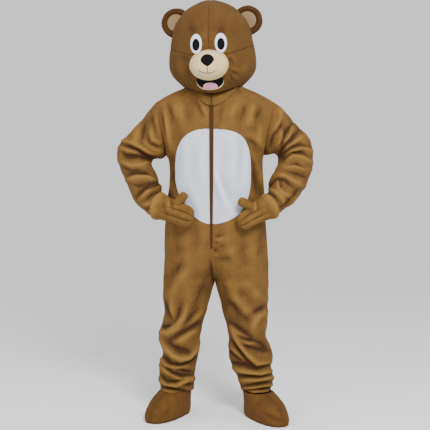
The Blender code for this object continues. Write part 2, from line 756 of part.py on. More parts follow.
def make_belly(grids, finish):
    """A rounded patch in two halves, one on each side of the zip, on the front panels' own points."""
    inner = ZIP_HALF_WIDTH + SEAM_GAP * 2
    for side in (-1, 1):
        name = f"belly_{'right' if side < 0 else 'left'}"
        grid = grids[(side, True)]
        inset = (inner - abs(grid[:, 0, 0])) / (abs(grid[:, 1, 0]) - abs(grid[:, 0, 0]))
        edge = grid[:, 0] + (grid[:, 1] - grid[:, 0]) * inset[:, None]
        grid = np.concatenate([edge[:, None], grid[:, 1:]], axis=1)
        down = -edge[:, 2]
        reaches = [BELLY_HALF_HEIGHT * oval(inner / BELLY_HALF_WIDTHS[side], power) for power in BELLY_POWERS[side]]
        places = []
        for step in range(BELLY_ROWS + 1):
            up = math.cos(math.pi * step / BELLY_ROWS)
            height = BELLY_MIDDLE_HEIGHT + reaches[0 if up > 0 else 1] * up
            places.append(float(np.interp(-height, down, np.arange(len(down)))))
        folds = [place for place in range(len(down)) if places[0] < place < places[-1]]
        loose = [place for place in places if min(abs(place - fold) for fold in folds) > BELLY_ROW_SPACE]
        rows = []
        for place in sorted(set(folds + loose + [places[0], places[-1]])):
            above = min(int(place), len(grid) - 2)
            row = grid[above] + (grid[above + 1] - grid[above]) * (place - above)
            rows.append(clipped(row))
        low = BELLY_CLEARANCE
        wall(name, rows, finish, low, low + BELLY_THICKNESS, (0.0, 0.0, 1.0), shift=shift_front)


# Mittens

def mitten_turns():
    half = [math.acos(across) for across in MITTEN_ACROSS]
    return half + [2 * math.pi - turn for turn in half[-2:0:-1]]


def mitten_rings(table, grow=0.0):
    """Rings of a mitten from its cuff to its fingertips, with three finger rolls."""
    rows = np.array(table)
    middles = rows[:, [0, 1, 2]]
    rings = []
    for number, row in enumerate(rows):
        _, wide, thick = mitten_axes(table, number)
        fingers = min(max(number - FINGER_START_ROW + 1, 0), 2) / 2
        ring = []
        for turn in mitten_turns():
            across, out = math.cos(turn), math.sin(turn)
            lobes = abs(math.cos(1.5 * math.pi * across))
            valley = 1.0 - FINGER_VALLEY * fingers * (1.0 - lobes) * abs(out)
            away = wide * across * (row[3] + grow) + thick * out * (row[4] * valley + grow)
            ring.append(middles[number] + away)
        rings.append(ring)
    tip = middles[-1] + unit(middles[-1] - middles[-2]) * (FINGERTIP_REACH + grow)
    rings.append([tip] * len(mitten_turns()))
    return np.array(rings)


def capsule(base, tip, radius):
    """Rings of a round-ended finger from base to tip."""
    base, tip = np.array(base), np.array(tip)
    along = unit(tip - base)
    first = unit(np.cross(along, np.array([0.0, 1.0, 0.0])))
    second = np.cross(along, first)
    length = np.linalg.norm(tip - base) + radius
    rings = []
    for far, size in THUMB_PROFILE:
        middle = base + along * length * far
        ring = []
        for turn in full_turn(THUMB_SEGMENTS):
            away = first * math.cos(turn) + second * math.sin(turn)
            ring.append(middle + away * radius * size)
        rings.append(ring)
    return np.array(rings)


def make_mitten(side, table, thumb, finish):
    label = "right" if side < 0 else "left"
    rings = mitten_rings(table)
    inside = np.array(table)[4, :3]
    wall(f"mitten_{label}", rings, finish, -MITTEN_CLOTH, 0.0, inside, wrap=True)
    base, tip, radius = thumb
    piece = solid(f"thumb_{label}", capsule(base, tip, radius), finish)
    cutter = solid(f"thumb_cutter_{label}", mitten_rings(table, SEAM_GAP), finish)
    cut_away(piece, cutter)


# Shoe covers

def shoe_outline(turn):
    """The sole's edge, from the toe (0) round the outer side to the heel."""
    along = math.cos(turn)
    across = math.sin(turn)
    length = SHOE_TOE if along > 0 else SHOE_HEEL
    forward = (1.0 + along) / 2
    swell = forward * forward * (3 - 2 * forward)
    width = SHOE_HEEL_HALF_WIDTH + (SHOE_BALL_HALF_WIDTH - SHOE_HEEL_HALF_WIDTH) * swell
    size = (abs(along) ** SHOE_POWER + abs(across) ** SHOE_POWER) ** (-1 / SHOE_POWER)
    return along * size * length, across * size * width


def shoe_half(half):
    """One half of the upper, between the middle seams at toe and heel, in the shoe's own frame."""
    rows = []
    turns = [math.pi * (column / SHOE_COLUMNS) for column in range(SHOE_COLUMNS + 1)]
    for share in SHOE_ROWS:
        spread = math.sin(math.pi / 2 * share)
        fall = math.cos(math.pi / 2 * share) ** 0.9
        row = []
        for turn in turns:
            along, across = shoe_outline(turn)
            top_along = math.cos(turn) * SHOE_TOP_HALF_LENGTH
            top_across = math.sin(turn) * SHOE_TOP_HALF_WIDTH
            toe = max(math.cos(turn), 0.0)
            dip = 1.0 - SHOE_INSTEP_DIP * toe * math.sin(math.pi * share) * (1 - share)
            height = SOLE_THICKNESS + SEAM_GAP + (SHOE_TOP_HEIGHT - SOLE_THICKNESS) * fall * dip
            row.append(
                [
                    half * (top_across + (across - top_across) * spread + SEAM_GAP / 2),
                    -(top_along + (along - top_along) * spread),
                    height,
                ]
            )
        rows.append(row)
    return np.array(rows)


def shoe_place(spec):
    ankle_x, ankle_y, turn = spec
    return Matrix.Translation((ankle_x, ankle_y, 0.0)) @ Matrix.Rotation(math.radians(turn), 4, "Z")


def make_shoe(side, spec, finish):
    label = "right" if side < 0 else "left"
    place = shoe_place(spec)
    for half in (-1, 1):
        name = f"shoe_{label}_{'outer' if half == side else 'inner'}"
        grid = shoe_half(half)
        last = SHOE_COLUMNS

        def hold(row, column, start, moved):
            moved = moved.copy()
            if column in (0, last):
                moved[0] = start[0]
            if row in (0, len(SHOE_ROWS) - 1):
                moved[2] = start[2]
            return moved

        inside = (half * 0.01, -0.06, 0.03)
        wall(name, grid, finish, -CLOTH, 0.0, inside, hold=hold, place=place)
    ring = []
    for turn in full_turn(2 * SHOE_COLUMNS):
        along, across = shoe_outline(turn)
        ring.append((across, -along))
    levels = [[(x, y, height) for x, y in ring] for height in (0.0, SOLE_THICKNESS)]
    solid(f"shoe_{label}_sole", levels, finish, place=place)


# Head

def head_point(turn, height):
    """A point on the outside of the head. Turn 0 is the face, and positive turns go to the wearer's left."""
    _, half_width, front, back = look_up(HEAD, height)
    depth = front if math.cos(turn) > 0 else back
    size = (abs(math.sin(turn)) ** HEAD_POWER + abs(math.cos(turn)) ** HEAD_POWER) ** (-1 / HEAD_POWER)
    return np.array([half_width * math.sin(turn) * size, -depth * math.cos(turn) * size, height])


def head_place():
    turned = Matrix.Rotation(math.radians(HEAD_TURN), 4, "Z")
    leaning = Matrix.Rotation(math.radians(HEAD_LEAN), 4, "Y")
    middle = Matrix.Translation((HEAD_X, HEAD_Y, HEAD_LEAN_HEIGHT))
    return middle @ turned @ leaning @ Matrix.Translation((0.0, 0.0, -HEAD_LEAN_HEIGHT))


def cheek_seam(turn):
    return CHEEK_SEAM_HEIGHT + CHEEK_SEAM_RISE * math.sin(turn) ** 2


def suit_top(x, y):
    """Height of the suit's shoulder under this place."""
    front = y < 0
    low, high = UNDERARM_HEIGHT, shoulder_line(x, front)
    if abs(x) > SHOULDER_TIP_X or yoke_depth(abs(x), low, front) < abs(y):
        return low
    for _ in range(30):
        middle = (low + high) / 2
        if yoke_depth(abs(x), middle, front) > abs(y):
            low = middle
        else:
            high = middle
    return high


def rim_shape(turn):
    """The head's lower edge, lower at the chin than at the sides and nape."""
    face = max(math.cos(turn), 0.0) ** 2
    nape = max(-math.cos(turn), 0.0) ** 2
    return NAPE_RISE * nape - CHIN_DROP * face


def seat_height():
    """The height of the head's side edge at which it just rests on the suit's shoulders."""
    place = head_place()
    highest = 0.0
    for step in range(120):
        turn = 2 * math.pi * step / 120
        spot = place @ Vector(head_point(turn, SEAT_START + rim_shape(turn)))
        highest = max(highest, suit_top(spot[0], spot[1]) - spot[2] + SEAT_START)
    return highest + SEAT_GAP


RIM_HEIGHT = seat_height()


def head_grid(first, last, columns, rows, top, bottom):
    """Rows of head points between two turns, from the top edge's heights to the bottom edge's."""
    grid = []
    for row in range(rows + 1):
        share = row / rows
        points = []
        for turn in np.linspace(first, last, columns + 1):
            high, low = top(turn), bottom(turn)
            drop = 1.0 - math.cos(math.pi / 2 * share) if high > HEAD[1][0] else share
            points.append(head_point(turn, high - (high - low) * drop))
        grid.append(points)
    return np.array(grid)


def make_head(finish):
    """Brow and back in two halves each, and the jaw, parted by the seam gap."""
    place = head_place()
    crown = HEAD[0][0]
    off = SEAM_GAP / 2
    quarter = math.pi / 2

    def crown_height(turn):
        return crown

    def rim(turn):
        return RIM_HEIGHT + rim_shape(turn)

    def make_piece(name, first, last, columns, rows, top, bottom, shift, seams):
        grid = head_grid(first, last, columns, rows, top, bottom) + np.array(shift)
        final = grid.shape[1] - 1

        def hold(row, column, start, moved):
            moved = moved.copy()
            if column == 0 and seams[0] is not None:
                moved[seams[0]] = start[seams[0]]
            if column == final and seams[1] is not None:
                moved[seams[1]] = start[seams[1]]
            if row == 0:
                if top is crown_height:
                    moved[0], moved[1] = start[0], start[1]
                else:
                    moved[2] = start[2]
            if row == grid.shape[0] - 1:
                moved[2] = start[2]
            return moved

        wall(name, grid, finish, -HEAD_WALL, 0.0, (0.0, 0.0, 1.60), hold=hold, place=place)

    def seam_above(turn):
        return cheek_seam(turn) + SEAM_GAP

    def seam_below(turn):
        return cheek_seam(turn) - SEAM_GAP

    brow = (HEAD_COLUMNS, BROW_ROWS, crown_height, seam_above)
    make_piece("head_brow_right", -quarter, 0, *brow, (-off, -off, 0), (1, 0))
    make_piece("head_brow_left", 0, quarter, *brow, (off, -off, 0), (0, 1))
    jaw = (2 * HEAD_COLUMNS, JAW_ROWS, seam_below, rim)
    make_piece("head_jaw", -quarter, quarter, *jaw, (0, -off, 0), (1, 1))
    nape = (HEAD_COLUMNS, BACK_ROWS, crown_height, rim)
    make_piece("head_back_left", quarter, 2 * quarter, *nape, (off, off, 0), (1, 0))
    make_piece("head_back_right", 2 * quarter, 3 * quarter, *nape, (-off, off, 0), (0, 1))


def head_cutter(name, finish, grow):
    """The head's filled outer form, a little larger, for pieces that are seated on it."""
    crown = HEAD[0][0]
    rings = []
    for height in np.append(np.linspace(crown + grow, 1.74, 14), np.linspace(1.72, 1.45, 13)):
        ring = []
        for turn in full_turn(4 * HEAD_COLUMNS):
            point = head_point(turn, min(height, crown - 1e-4))
            out = np.array([point[0], point[1], 0.0])
            out *= grow / max(np.linalg.norm(out), 1e-6)
            ring.append([point[0] + out[0], point[1] + out[1], height])
        rings.append(ring)
    return solid(name, rings, finish, place=head_place())


def face_disc(name, finish, middle, half_size, low, high, rings):
    """A flat oval of felt that follows the face under it."""
    grid = []
    for ring in range(rings + 1):
        size = 1.0 - ring / rings
        row = []
        for turn in full_turn(DISC_SEGMENTS):
            x = middle[0] + half_size[0] * size * math.cos(turn)
            height = middle[1] + half_size[1] * size * math.sin(turn)
            row.append(face_surface(x, height))
        grid.append(row)
    return wall(name, grid, finish, low, high, (0.0, 0.0, middle[1]), wrap=True, place=head_place())


def face_surface(x, height):
    """The point of the face at this x and height."""
    _, half_width, front, _ = look_up(HEAD, height)
    return np.array([x, -front * oval(x / half_width, HEAD_POWER) - SEAM_GAP / 2, height])


def muzzle_rings(grow=0.0):
    """A dome from the face outwards: wide at its root, with a rounded end."""
    rings = []
    for far, size in MUZZLE_PROFILE:
        ring = []
        for turn in full_turn(MUZZLE_SEGMENTS):
            x = (MUZZLE_HALF_WIDTH * size + grow) * math.cos(turn)
            up = (MUZZLE_HALF_HEIGHT * size + grow) * math.sin(turn)
            y = MUZZLE_Y - (MUZZLE_REACH + grow) * far
            if size == 0.0:
                x, up = 0.0, 0.0
            ring.append([x, y, MUZZLE_HEIGHT + up - MUZZLE_SAG * max(far, 0.0)])
        rings.append(ring)
    return rings


def nose_rings():
    """A rounded triangle with its point downwards."""
    rings = []
    for far, size in NOSE_PROFILE:
        ring = []
        for turn in full_turn(NOSE_SEGMENTS):
            narrow = 1.0 - NOSE_NARROWING * max(-math.sin(turn), 0.0)
            x = NOSE_HALF_WIDTH * size * math.cos(turn) * narrow
            up = NOSE_HALF_HEIGHT * size * math.sin(turn)
            ring.append([x, NOSE_Y - NOSE_REACH * far, NOSE_HEIGHT + up])
        rings.append(ring)
    return rings


def make_face(cream, black, white):
    place = head_place()
    muzzle = solid("muzzle", muzzle_rings(), cream, place=place)
    cut_away(muzzle, head_cutter("muzzle_cutter", cream, HEAD_GAP))
    nose = solid("nose", nose_rings(), black, place=place)
    grown = solid("nose_cutter", muzzle_rings(SEAM_GAP * 2), cream, place=place)
    cut_away(nose, grown)
    low = SEAM_GAP * 2
    for side in (-1, 1):
        label = "right" if side < 0 else "left"
        eye = face_disc(f"eye_{label}", white, (side * EYE_X, EYE_HEIGHT), EYE_SIZE, low, low + FELT, 3)
        cut_away(eye, grown)
        middle = (side * EYE_X, EYE_HEIGHT - PUPIL_DROP)
        start = low + FELT + low
        face_disc(f"pupil_{label}", black, middle, PUPIL_SIZE, start, start + FELT / 2, 2)
    return grown


def make_mouth(muzzle_form, black, cream, pink):
    """Dark mesh under the muzzle, with a rolled lip below it and a tongue on it."""
    low = SEAM_GAP * 2
    across = np.linspace(-1, 1, 11)

    def mix(start, end, share):
        return start + (end - start) * share

    def lower_edge(share):
        return mix(MOUTH_TOP_HEIGHT, MOUTH_BOTTOM_HEIGHT, oval(share, MOUTH_POWER))

    def mesh_edge(share):
        return lower_edge(share) + 0.0016

    def lip_top(share):
        return lower_edge(share) - 0.0006

    def lip_bottom(share):
        return lower_edge(share) - TRIM_WIDTH

    def tongue_edge(share):
        return lower_edge(share) + 0.001

    def strip(name, finish, shares, top, bottom, base, thickness, rows):
        grid = [
            [
                face_surface(MOUTH_HALF_WIDTH * share, mix(top(share), bottom(share), row / rows))
                for share in shares
            ]
            for row in range(rows + 1)
        ]
        inside = (0.0, 0.0, MOUTH_TOP_HEIGHT)
        piece = wall(name, grid, finish, base, base + thickness, inside, place=head_place())
        cut_away(piece, muzzle_form)

    def top_edge(share):
        return MOUTH_TOP_HEIGHT

    strip("mouth", black, across * 0.97, top_edge, mesh_edge, low, 0.002, 4)
    strip("mouth_lip", cream, across * 0.985, lip_top, lip_bottom, low, 0.004, 1)
    tongue = across * TONGUE_HALF_WIDTH / MOUTH_HALF_WIDTH

    def tongue_top(share):
        round_end = oval(share * MOUTH_HALF_WIDTH / TONGUE_HALF_WIDTH, 2.2)
        return MOUTH_BOTTOM_HEIGHT + 0.006 + TONGUE_HEIGHT * round_end

    strip("tongue", pink, tongue * 0.97, tongue_top, tongue_edge, low + 0.002 + low, 0.004, 2)


def ear_ring(side, radius, y):
    """A circle of points round the ear's middle."""
    turns = full_turn(EAR_SEGMENTS)
    middle = side * EAR_X
    return [[middle + radius * math.cos(turn), y, EAR_HEIGHT + radius * math.sin(turn)] for turn in turns]


def make_ears(finish, lining):
    """Round padded ears seated on the head, each with a lighter lining in its cup."""
    radii, depths = zip(*EAR_PROFILE[:4])
    for side in (-1, 1):
        label = "right" if side < 0 else "left"
        rings = [ear_ring(side, radius, EAR_Y + y) for radius, y in EAR_PROFILE]
        ear = solid(f"ear_{label}", rings, finish, place=head_place())
        cut_away(ear, head_cutter(f"ear_cutter_{label}", finish, HEAD_GAP))
        disc = []
        for size in (1.0, 0.6, 0.0):
            radius = EAR_LINING_RADIUS * size
            depth = EAR_Y + float(np.interp(radius, radii, depths)) - SEAM_GAP
            disc.append(ear_ring(side, radius, depth))
        inside = (side * EAR_X, 0.1, EAR_HEIGHT)
        patch = wall(
            f"ear_lining_{label}", disc, lining, SEAM_GAP, EAR_LINING, inside, wrap=True, place=head_place()
        )
        cut_away(patch, head_cutter(f"lining_cutter_{label}", finish, HEAD_GAP))


def main():
    suit = material("suit_velour", SUIT_BROWN)
    plush = material("head_plush", HEAD_BROWN)
    dark = material("zip_tape", DARK_BROWN)
    white = material("white_velour", WHITE)
    cream = material("cream_fleece", CREAM)
    beige = material("beige_plush", BEIGE)
    black = material("black_felt", BLACK)
    pink = material("pink_felt", PINK)
    grids = make_panels(suit)
    make_sleeve("sleeve_right", SLEEVE_RIGHT, MITTEN_RIGHT, -1, grids, suit)
    make_sleeve("sleeve_left", SLEEVE_LEFT, MITTEN_LEFT, 1, grids, suit)
    make_collar(suit)
    make_zip(grids, dark)
    make_belly(grids, white)
    make_mitten(-1, MITTEN_RIGHT, THUMB_RIGHT, plush)
    make_mitten(1, MITTEN_LEFT, THUMB_LEFT, plush)
    make_shoe(-1, SHOE_RIGHT, suit)
    make_shoe(1, SHOE_LEFT, suit)
    make_head(plush)
    muzzle_form = make_face(cream, black, white)
    make_mouth(muzzle_form, black, cream, pink)
    make_ears(plush, beige)


main()
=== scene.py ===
# Worn bear costume: velour jumpsuit with belly patch and zip, mittens, shoe covers and a padded head.
# Heights in the tables are above the floor, and every finished mesh is lowered by originHeight.
# The front faces -Y. right and left are the wearer's own, so right is on -X.

import math

import bmesh
import bpy
import numpy as np
from mathutils import Matrix, Vector
from mathutils.bvhtree import BVHTree


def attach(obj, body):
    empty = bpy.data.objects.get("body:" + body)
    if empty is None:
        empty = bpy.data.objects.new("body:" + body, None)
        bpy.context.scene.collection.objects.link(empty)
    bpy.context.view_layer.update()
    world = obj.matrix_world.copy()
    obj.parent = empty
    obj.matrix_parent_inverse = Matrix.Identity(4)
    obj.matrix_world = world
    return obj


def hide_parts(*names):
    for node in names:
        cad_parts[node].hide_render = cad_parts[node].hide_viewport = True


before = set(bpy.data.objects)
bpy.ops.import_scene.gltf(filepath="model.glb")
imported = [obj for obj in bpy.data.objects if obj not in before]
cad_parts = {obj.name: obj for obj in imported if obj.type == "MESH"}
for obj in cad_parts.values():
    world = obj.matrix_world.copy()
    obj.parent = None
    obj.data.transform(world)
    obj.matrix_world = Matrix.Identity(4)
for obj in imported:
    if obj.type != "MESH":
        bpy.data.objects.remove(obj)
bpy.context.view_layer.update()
print("scene: frame loaded")

originHeight = 1.44
seamGap = 0.0003
lowered = np.array([0.0, 0.0, originHeight])
sides = {-1: "Right", 1: "Left"}

# Camera and light

cameraSettings = {
    "place": (0.0, -4.0, -0.29),  # chest height, 4 m in front
    "target": (0.0, 0.0, -0.542),
    "lens": 75.0,
    "sensor": 36.0,
}
# name, place, size, power
softBoxes = (
    ("keyLight", (0.95, -3.1, 1.95), 1.4, 207.0),
    ("fillLight", (-2.4, -2.6, 0.4), 2.4, 40.0),
)
lightSettings = {
    "target": (0.0, 0.0, -0.2),
    "skyStrength": 0.95,
    "floorColour": "F4F4F4",
    "floorHalfSize": 6,
    "floorDrop": 0.0005,
}


def linear(hexColour):
    # sRGB hex to the linear colour that a shader takes
    parts = [int(hexColour[start : start + 2], 16) / 255 for start in (0, 2, 4)]
    spread = [part / 12.92 if part <= 0.04045 else ((part + 0.055) / 1.055) ** 2.4 for part in parts]
    return (*spread, 1.0)


def aim(thing, place, target):
    direction = Vector(target) - Vector(place)
    turned = direction.to_track_quat("-Z", "Y").to_matrix().to_4x4()
    thing.matrix_world = Matrix.Translation(place) @ turned


def setCamera():
    data = bpy.data.cameras.new("camera")
    data.lens = cameraSettings["lens"]
    data.sensor_width = cameraSettings["sensor"]
    made = bpy.data.objects.new("camera", data)
    bpy.context.scene.collection.objects.link(made)
    aim(made, cameraSettings["place"], cameraSettings["target"])
    bpy.context.scene.camera = made


def softBox(name, place, size, power):
    data = bpy.data.lights.new(name, "AREA")
    data.shape = "DISK"
    data.size = size
    data.energy = power
    made = bpy.data.objects.new(name, data)
    bpy.context.scene.collection.objects.link(made)
    aim(made, place, lightSettings["target"])


def setLights():
    for name, place, size, power in softBoxes:
        softBox(name, place, size, power)
    world = bpy.data.worlds.new("studio")
    bpy.context.scene.world = world
    world.use_nodes = True
    sky = world.node_tree.nodes["Background"]
    sky.inputs["Color"].default_value = linear("FFFFFF")
    sky.inputs["Strength"].default_value = lightSettings["skyStrength"]


setCamera()
setLights()
print("scene: camera and lights set")

# Materials

pile = {
    "patchStretch": (1.0, 1.0, 0.3),  # the patches are drawn out downwards
    "patchShare": 0.4,
    "grainShare": 0.6,
    "pilePerGrain": 3,  # tufts drawn as one grain
    "toneEnds": (0.22, 0.78),
    "relief": 0.0012,
}
# thread width, and threads drawn as one rib so that they show
weave = {"thread": 0.0007, "threadsPerRib": 3, "strength": 0.3, "relief": 0.0004}


def addNode(tree, kind, links=(), **settings):
    # one node, its settings or socket values, and what feeds it as (input, node, output)
    made = tree.nodes.new(kind)
    for name, value in settings.items():
        if hasattr(made, name):
            setattr(made, name, value)
        else:
            made.inputs[name.replace("_", " ")].default_value = value
    for socket, source, output in links:
        tree.links.new(source.outputs[output], made.inputs[socket])
    return made


def newFinish(name, **values):
    # a material, its node tree and its shader, with these values in the shader's sockets
    made = bpy.data.materials.new(name)
    made.use_nodes = True
    shader = made.node_tree.nodes["Principled BSDF"]
    for socket, value in values.items():
        shader.inputs[socket.replace("_", " ")].default_value = value
    return made, made.node_tree, shader


def scaled(tree, source, output, factor, added=None):
    # what a node gives times a factor, plus what another one gives
    links = [(0, source, output)]
    if added is not None:
        links.append((2, added, 0))
    made = addNode(tree, "ShaderNodeMath", links, operation="MULTIPLY" if added is None else "MULTIPLY_ADD")
    made.inputs[1].default_value = factor
    return made


def paint(tree, shader, tone, output, dark, light, ends):
    # the cloth's colour, from dark to light as the tone rises
    ramp = addNode(tree, "ShaderNodeValToRGB", [("Fac", tone, output)])
    for element, position, colour in zip(ramp.color_ramp.elements, ends, (dark, light)):
        element.position = position
        element.color = linear(colour)
    tree.links.new(ramp.outputs["Color"], shader.inputs["Base Color"])


def emboss(tree, shader, source, strength, distance):
    bump = addNode(tree, "ShaderNodeBump", [("Height", source, "Fac")], Strength=strength, Distance=distance)
    tree.links.new(bump.outputs["Normal"], shader.inputs["Normal"])


def pileCloth(name, light, dark, pileMm=1.6, patchMm=30.0, sheen=0.3, bump=0.25, paintedFoldShade=0.0):
    # short pile: matte, lighter and darker at random where the nap lies over, with painted highlight on the
    # fold ridges and painted shade down in the creases
    made, tree, shader = newFinish(
        name,
        Roughness=0.9,
        Specular_IOR_Level=0.15,
        Sheen_Weight=sheen,
        Sheen_Roughness=0.45,
        Sheen_Tint=linear(light),
    )
    place = addNode(tree, "ShaderNodeTexCoord")
    streaks = addNode(tree, "ShaderNodeMapping", [("Vector", place, "Object")], Scale=pile["patchStretch"])
    patches = addNode(
        tree,
        "ShaderNodeTexNoise",
        [("Vector", streaks, 0)],
        Scale=1000 / patchMm,
        Detail=6.0,
        Roughness=0.7,
    )
    grain = addNode(
        tree,
        "ShaderNodeTexNoise",
        [("Vector", place, "Object")],
        Scale=1000 / pileMm / pile["pilePerGrain"],
        Detail=4.0,
        Roughness=0.8,
    )
    tone = scaled(tree, grain, "Fac", pile["grainShare"], scaled(tree, patches, "Fac", pile["patchShare"]))
    # painted shade and highlight: the fold attribute darkens the colour down in crease troughs and lightens
    # it on ridges
    if paintedFoldShade:
        fold = addNode(tree, "ShaderNodeAttribute", attribute_name="fold")
        tone = scaled(tree, fold, "Fac", paintedFoldShade, tone)
    paint(tree, shader, tone, 0, dark, light, pile["toneEnds"])
    emboss(tree, shader, grain, bump, pile["relief"])
    return made


def wovenTape(name, light, dark):
    # tight polyester weave: fine cross ribs along the tape, drawn wide enough to show
    made, tree, shader = newFinish(name, Roughness=0.8, Specular_IOR_Level=0.2)
    place = addNode(tree, "ShaderNodeTexCoord")
    ribs = addNode(
        tree,
        "ShaderNodeTexWave",
        [("Vector", place, "UV")],
        bands_direction="Y",
        Scale=1 / (weave["thread"] * weave["threadsPerRib"]) / (2 * math.pi),
    )
    paint(tree, shader, ribs, "Fac", dark, light, (0.0, 1.0))
    emboss(tree, shader, ribs, weave["strength"], weave["relief"])
    return made


def plainFinish(name, colour, roughness):
    made, _, _ = newFinish(name, Base_Color=linear(colour), Roughness=roughness)
    return made


# the pile finishes' fold weights paint shade into crease troughs and dimples, and highlight onto ridges and
# the mittens' cuff rims
finishes = {
    "suit": pileCloth("brownPolyesterVelour", "7C5A2B", "38230F", patchMm=45.0, paintedFoldShade=0.048),
    "shoe": pileCloth("brownVelourShoeCover", "62421C", "35200A", paintedFoldShade=0.045),
    "mitten": pileCloth("brownFleece", "7A582A", "432D12", pileMm=2.0, paintedFoldShade=0.09),
    "head": pileCloth("brownShortPlush", "664821", "38240E", pileMm=2.0, patchMm=60.0, paintedFoldShade=0.065),
    "earRim": pileCloth("darkBrownShortPlush", "4C3014", "2C1906", pileMm=2.0),
    "earLining": pileCloth("beigeShortPlush", "8A7258", "655038", pileMm=2.0),
    "belly": pileCloth(
        "whitePolyesterVelour", "CED2DC", "A0A5B5", patchMm=45.0, sheen=0.15, bump=0.15, paintedFoldShade=0.10
    ),
    "muzzle": pileCloth("creamPolarFleece", "DCC899", "B29A6E", pileMm=2.2, sheen=0.1, bump=0.2),
    "eye": pileCloth("whiteWoolFelt", "DAD6DE", "CBC7D0", sheen=0.1, bump=0.15),
    "black": pileCloth("blackWoolFelt", "0A0909", "040303", sheen=0.0, bump=0.3),
    "tongue": pileCloth("pinkWoolFelt", "DA98B0", "C684A0", sheen=0.1, bump=0.2),
    "zip": wovenTape("brownZipTape", "462806", "2A1502"),
    "teeth": plainFinish("brownNylonCoil", "4A2A10", 0.5),
    "brownThread": plainFinish("brownSewingThread", "6B4A22", 0.7),
    "darkThread": plainFinish("darkEmbroideryThread", "3A2418", 0.7),
    "whiteThread": plainFinish("whiteSewingThread", "E2E3E8", 0.7),
}
print("scene: materials made")

# Creases, placed in the picture's frame, pictureSize units wide and high, as the camera sees them.
# Each row: depth in mm (troughs are negative), half width in units, path.

pictureSize = 430
# ends are where along its path a crease stops fading, trough and ridge are how steep its sides are
creaseShape = {"ends": (0.05, 0.95), "taper": 0.5, "trough": 1.15, "ridge": 1.7}

chestCreases = (
    (-2.8, 2.6, ((196, 100), (202, 112), (207, 119))),
    (2.5, 2.2, ((200, 103), (206, 114), (208, 124))),
    (-2.0, 3.0, ((186, 100), (187, 112), (189, 122))),
    (2.0, 2.6, ((180, 102), (181, 113), (182, 124))),
    (-2.5, 2.6, ((167, 103), (171, 112), (173, 122))),
    (2.0, 3.0, ((174, 101), (176, 112), (177, 120))),
    (3.6, 2.6, ((165, 106), (167, 126), (171, 149))),
    (-3.4, 1.8, ((161, 111), (163, 122), (165, 134))),
    (-1.8, 2.4, ((222, 103), (221, 112), (220, 122))),
    (2.0, 2.8, ((236, 101), (233, 110), (231, 119))),
    (-2.0, 2.6, ((247, 102), (243, 112), (240, 122))),
    (2.2, 2.8, ((254, 103), (251, 114), (248, 124))),
    (-2.2, 2.8, ((262, 104), (257, 116), (254, 126))),
    (2.1, 2.6, ((261, 124), (259, 136), (258, 147))),
    (-3.2, 3.0, ((247, 138), (253, 142), (259, 149))),
    (1.9, 3.0, ((253, 135), (259, 141), (263, 150))),
    (-3.6, 2.8, ((250, 155), (254, 166), (254, 177), (257, 193))),
    (2.6, 2.4, ((256, 160), (260, 175), (262, 192))),
    (-1.9, 2.0, ((258, 178), (260, 188), (262, 197))),
    (-2.6, 2.2, ((172, 157), (173, 176), (176, 193))),
    (2.1, 2.0, ((169, 163), (170, 177), (170, 194))),
    (-1.9, 2.0, ((168, 184), (169, 192), (172, 200))),
)
waistCreases = (
    (-2.8, 1.9, ((215.5, 237), (218, 236.6), (222, 235))),
    (2.2, 2.2, ((216, 239.6), (220, 239.4), (224, 238))),
    (-2.4, 1.7, ((214.6, 241.6), (218.6, 243.6))),
    (-1.8, 1.7, ((219, 247.4), (224, 245.4))),
    (-2.8, 1.7, ((213, 249), (217, 252))),
    (1.8, 1.8, ((214, 253), (218, 256.5))),
    (-2.0, 3.2, ((216, 257), (224, 259), (233, 257))),
    (-6.5, 1.5, ((211.9, 248), (211.8, 262), (212.4, 272), (214, 283))),
    (1.2, 4.6, ((186, 228), (188, 250), (184, 272))),
    (-1.1, 4.2, ((177, 230), (178, 246), (177, 262))),
    (1.0, 4.4, ((203, 226), (204, 240), (200, 258))),
    (-1.2, 4.0, ((195, 224), (196, 238), (194, 256))),
    (1.2, 4.6, ((228, 226), (231, 246), (234, 266))),
    (-1.1, 4.4, ((240, 230), (243, 248), (246, 270))),
    (1.3, 4.4, ((250, 228), (253, 250), (253, 276))),
    (-1.2, 3.6, ((260, 224), (261, 240), (260, 258))),
)
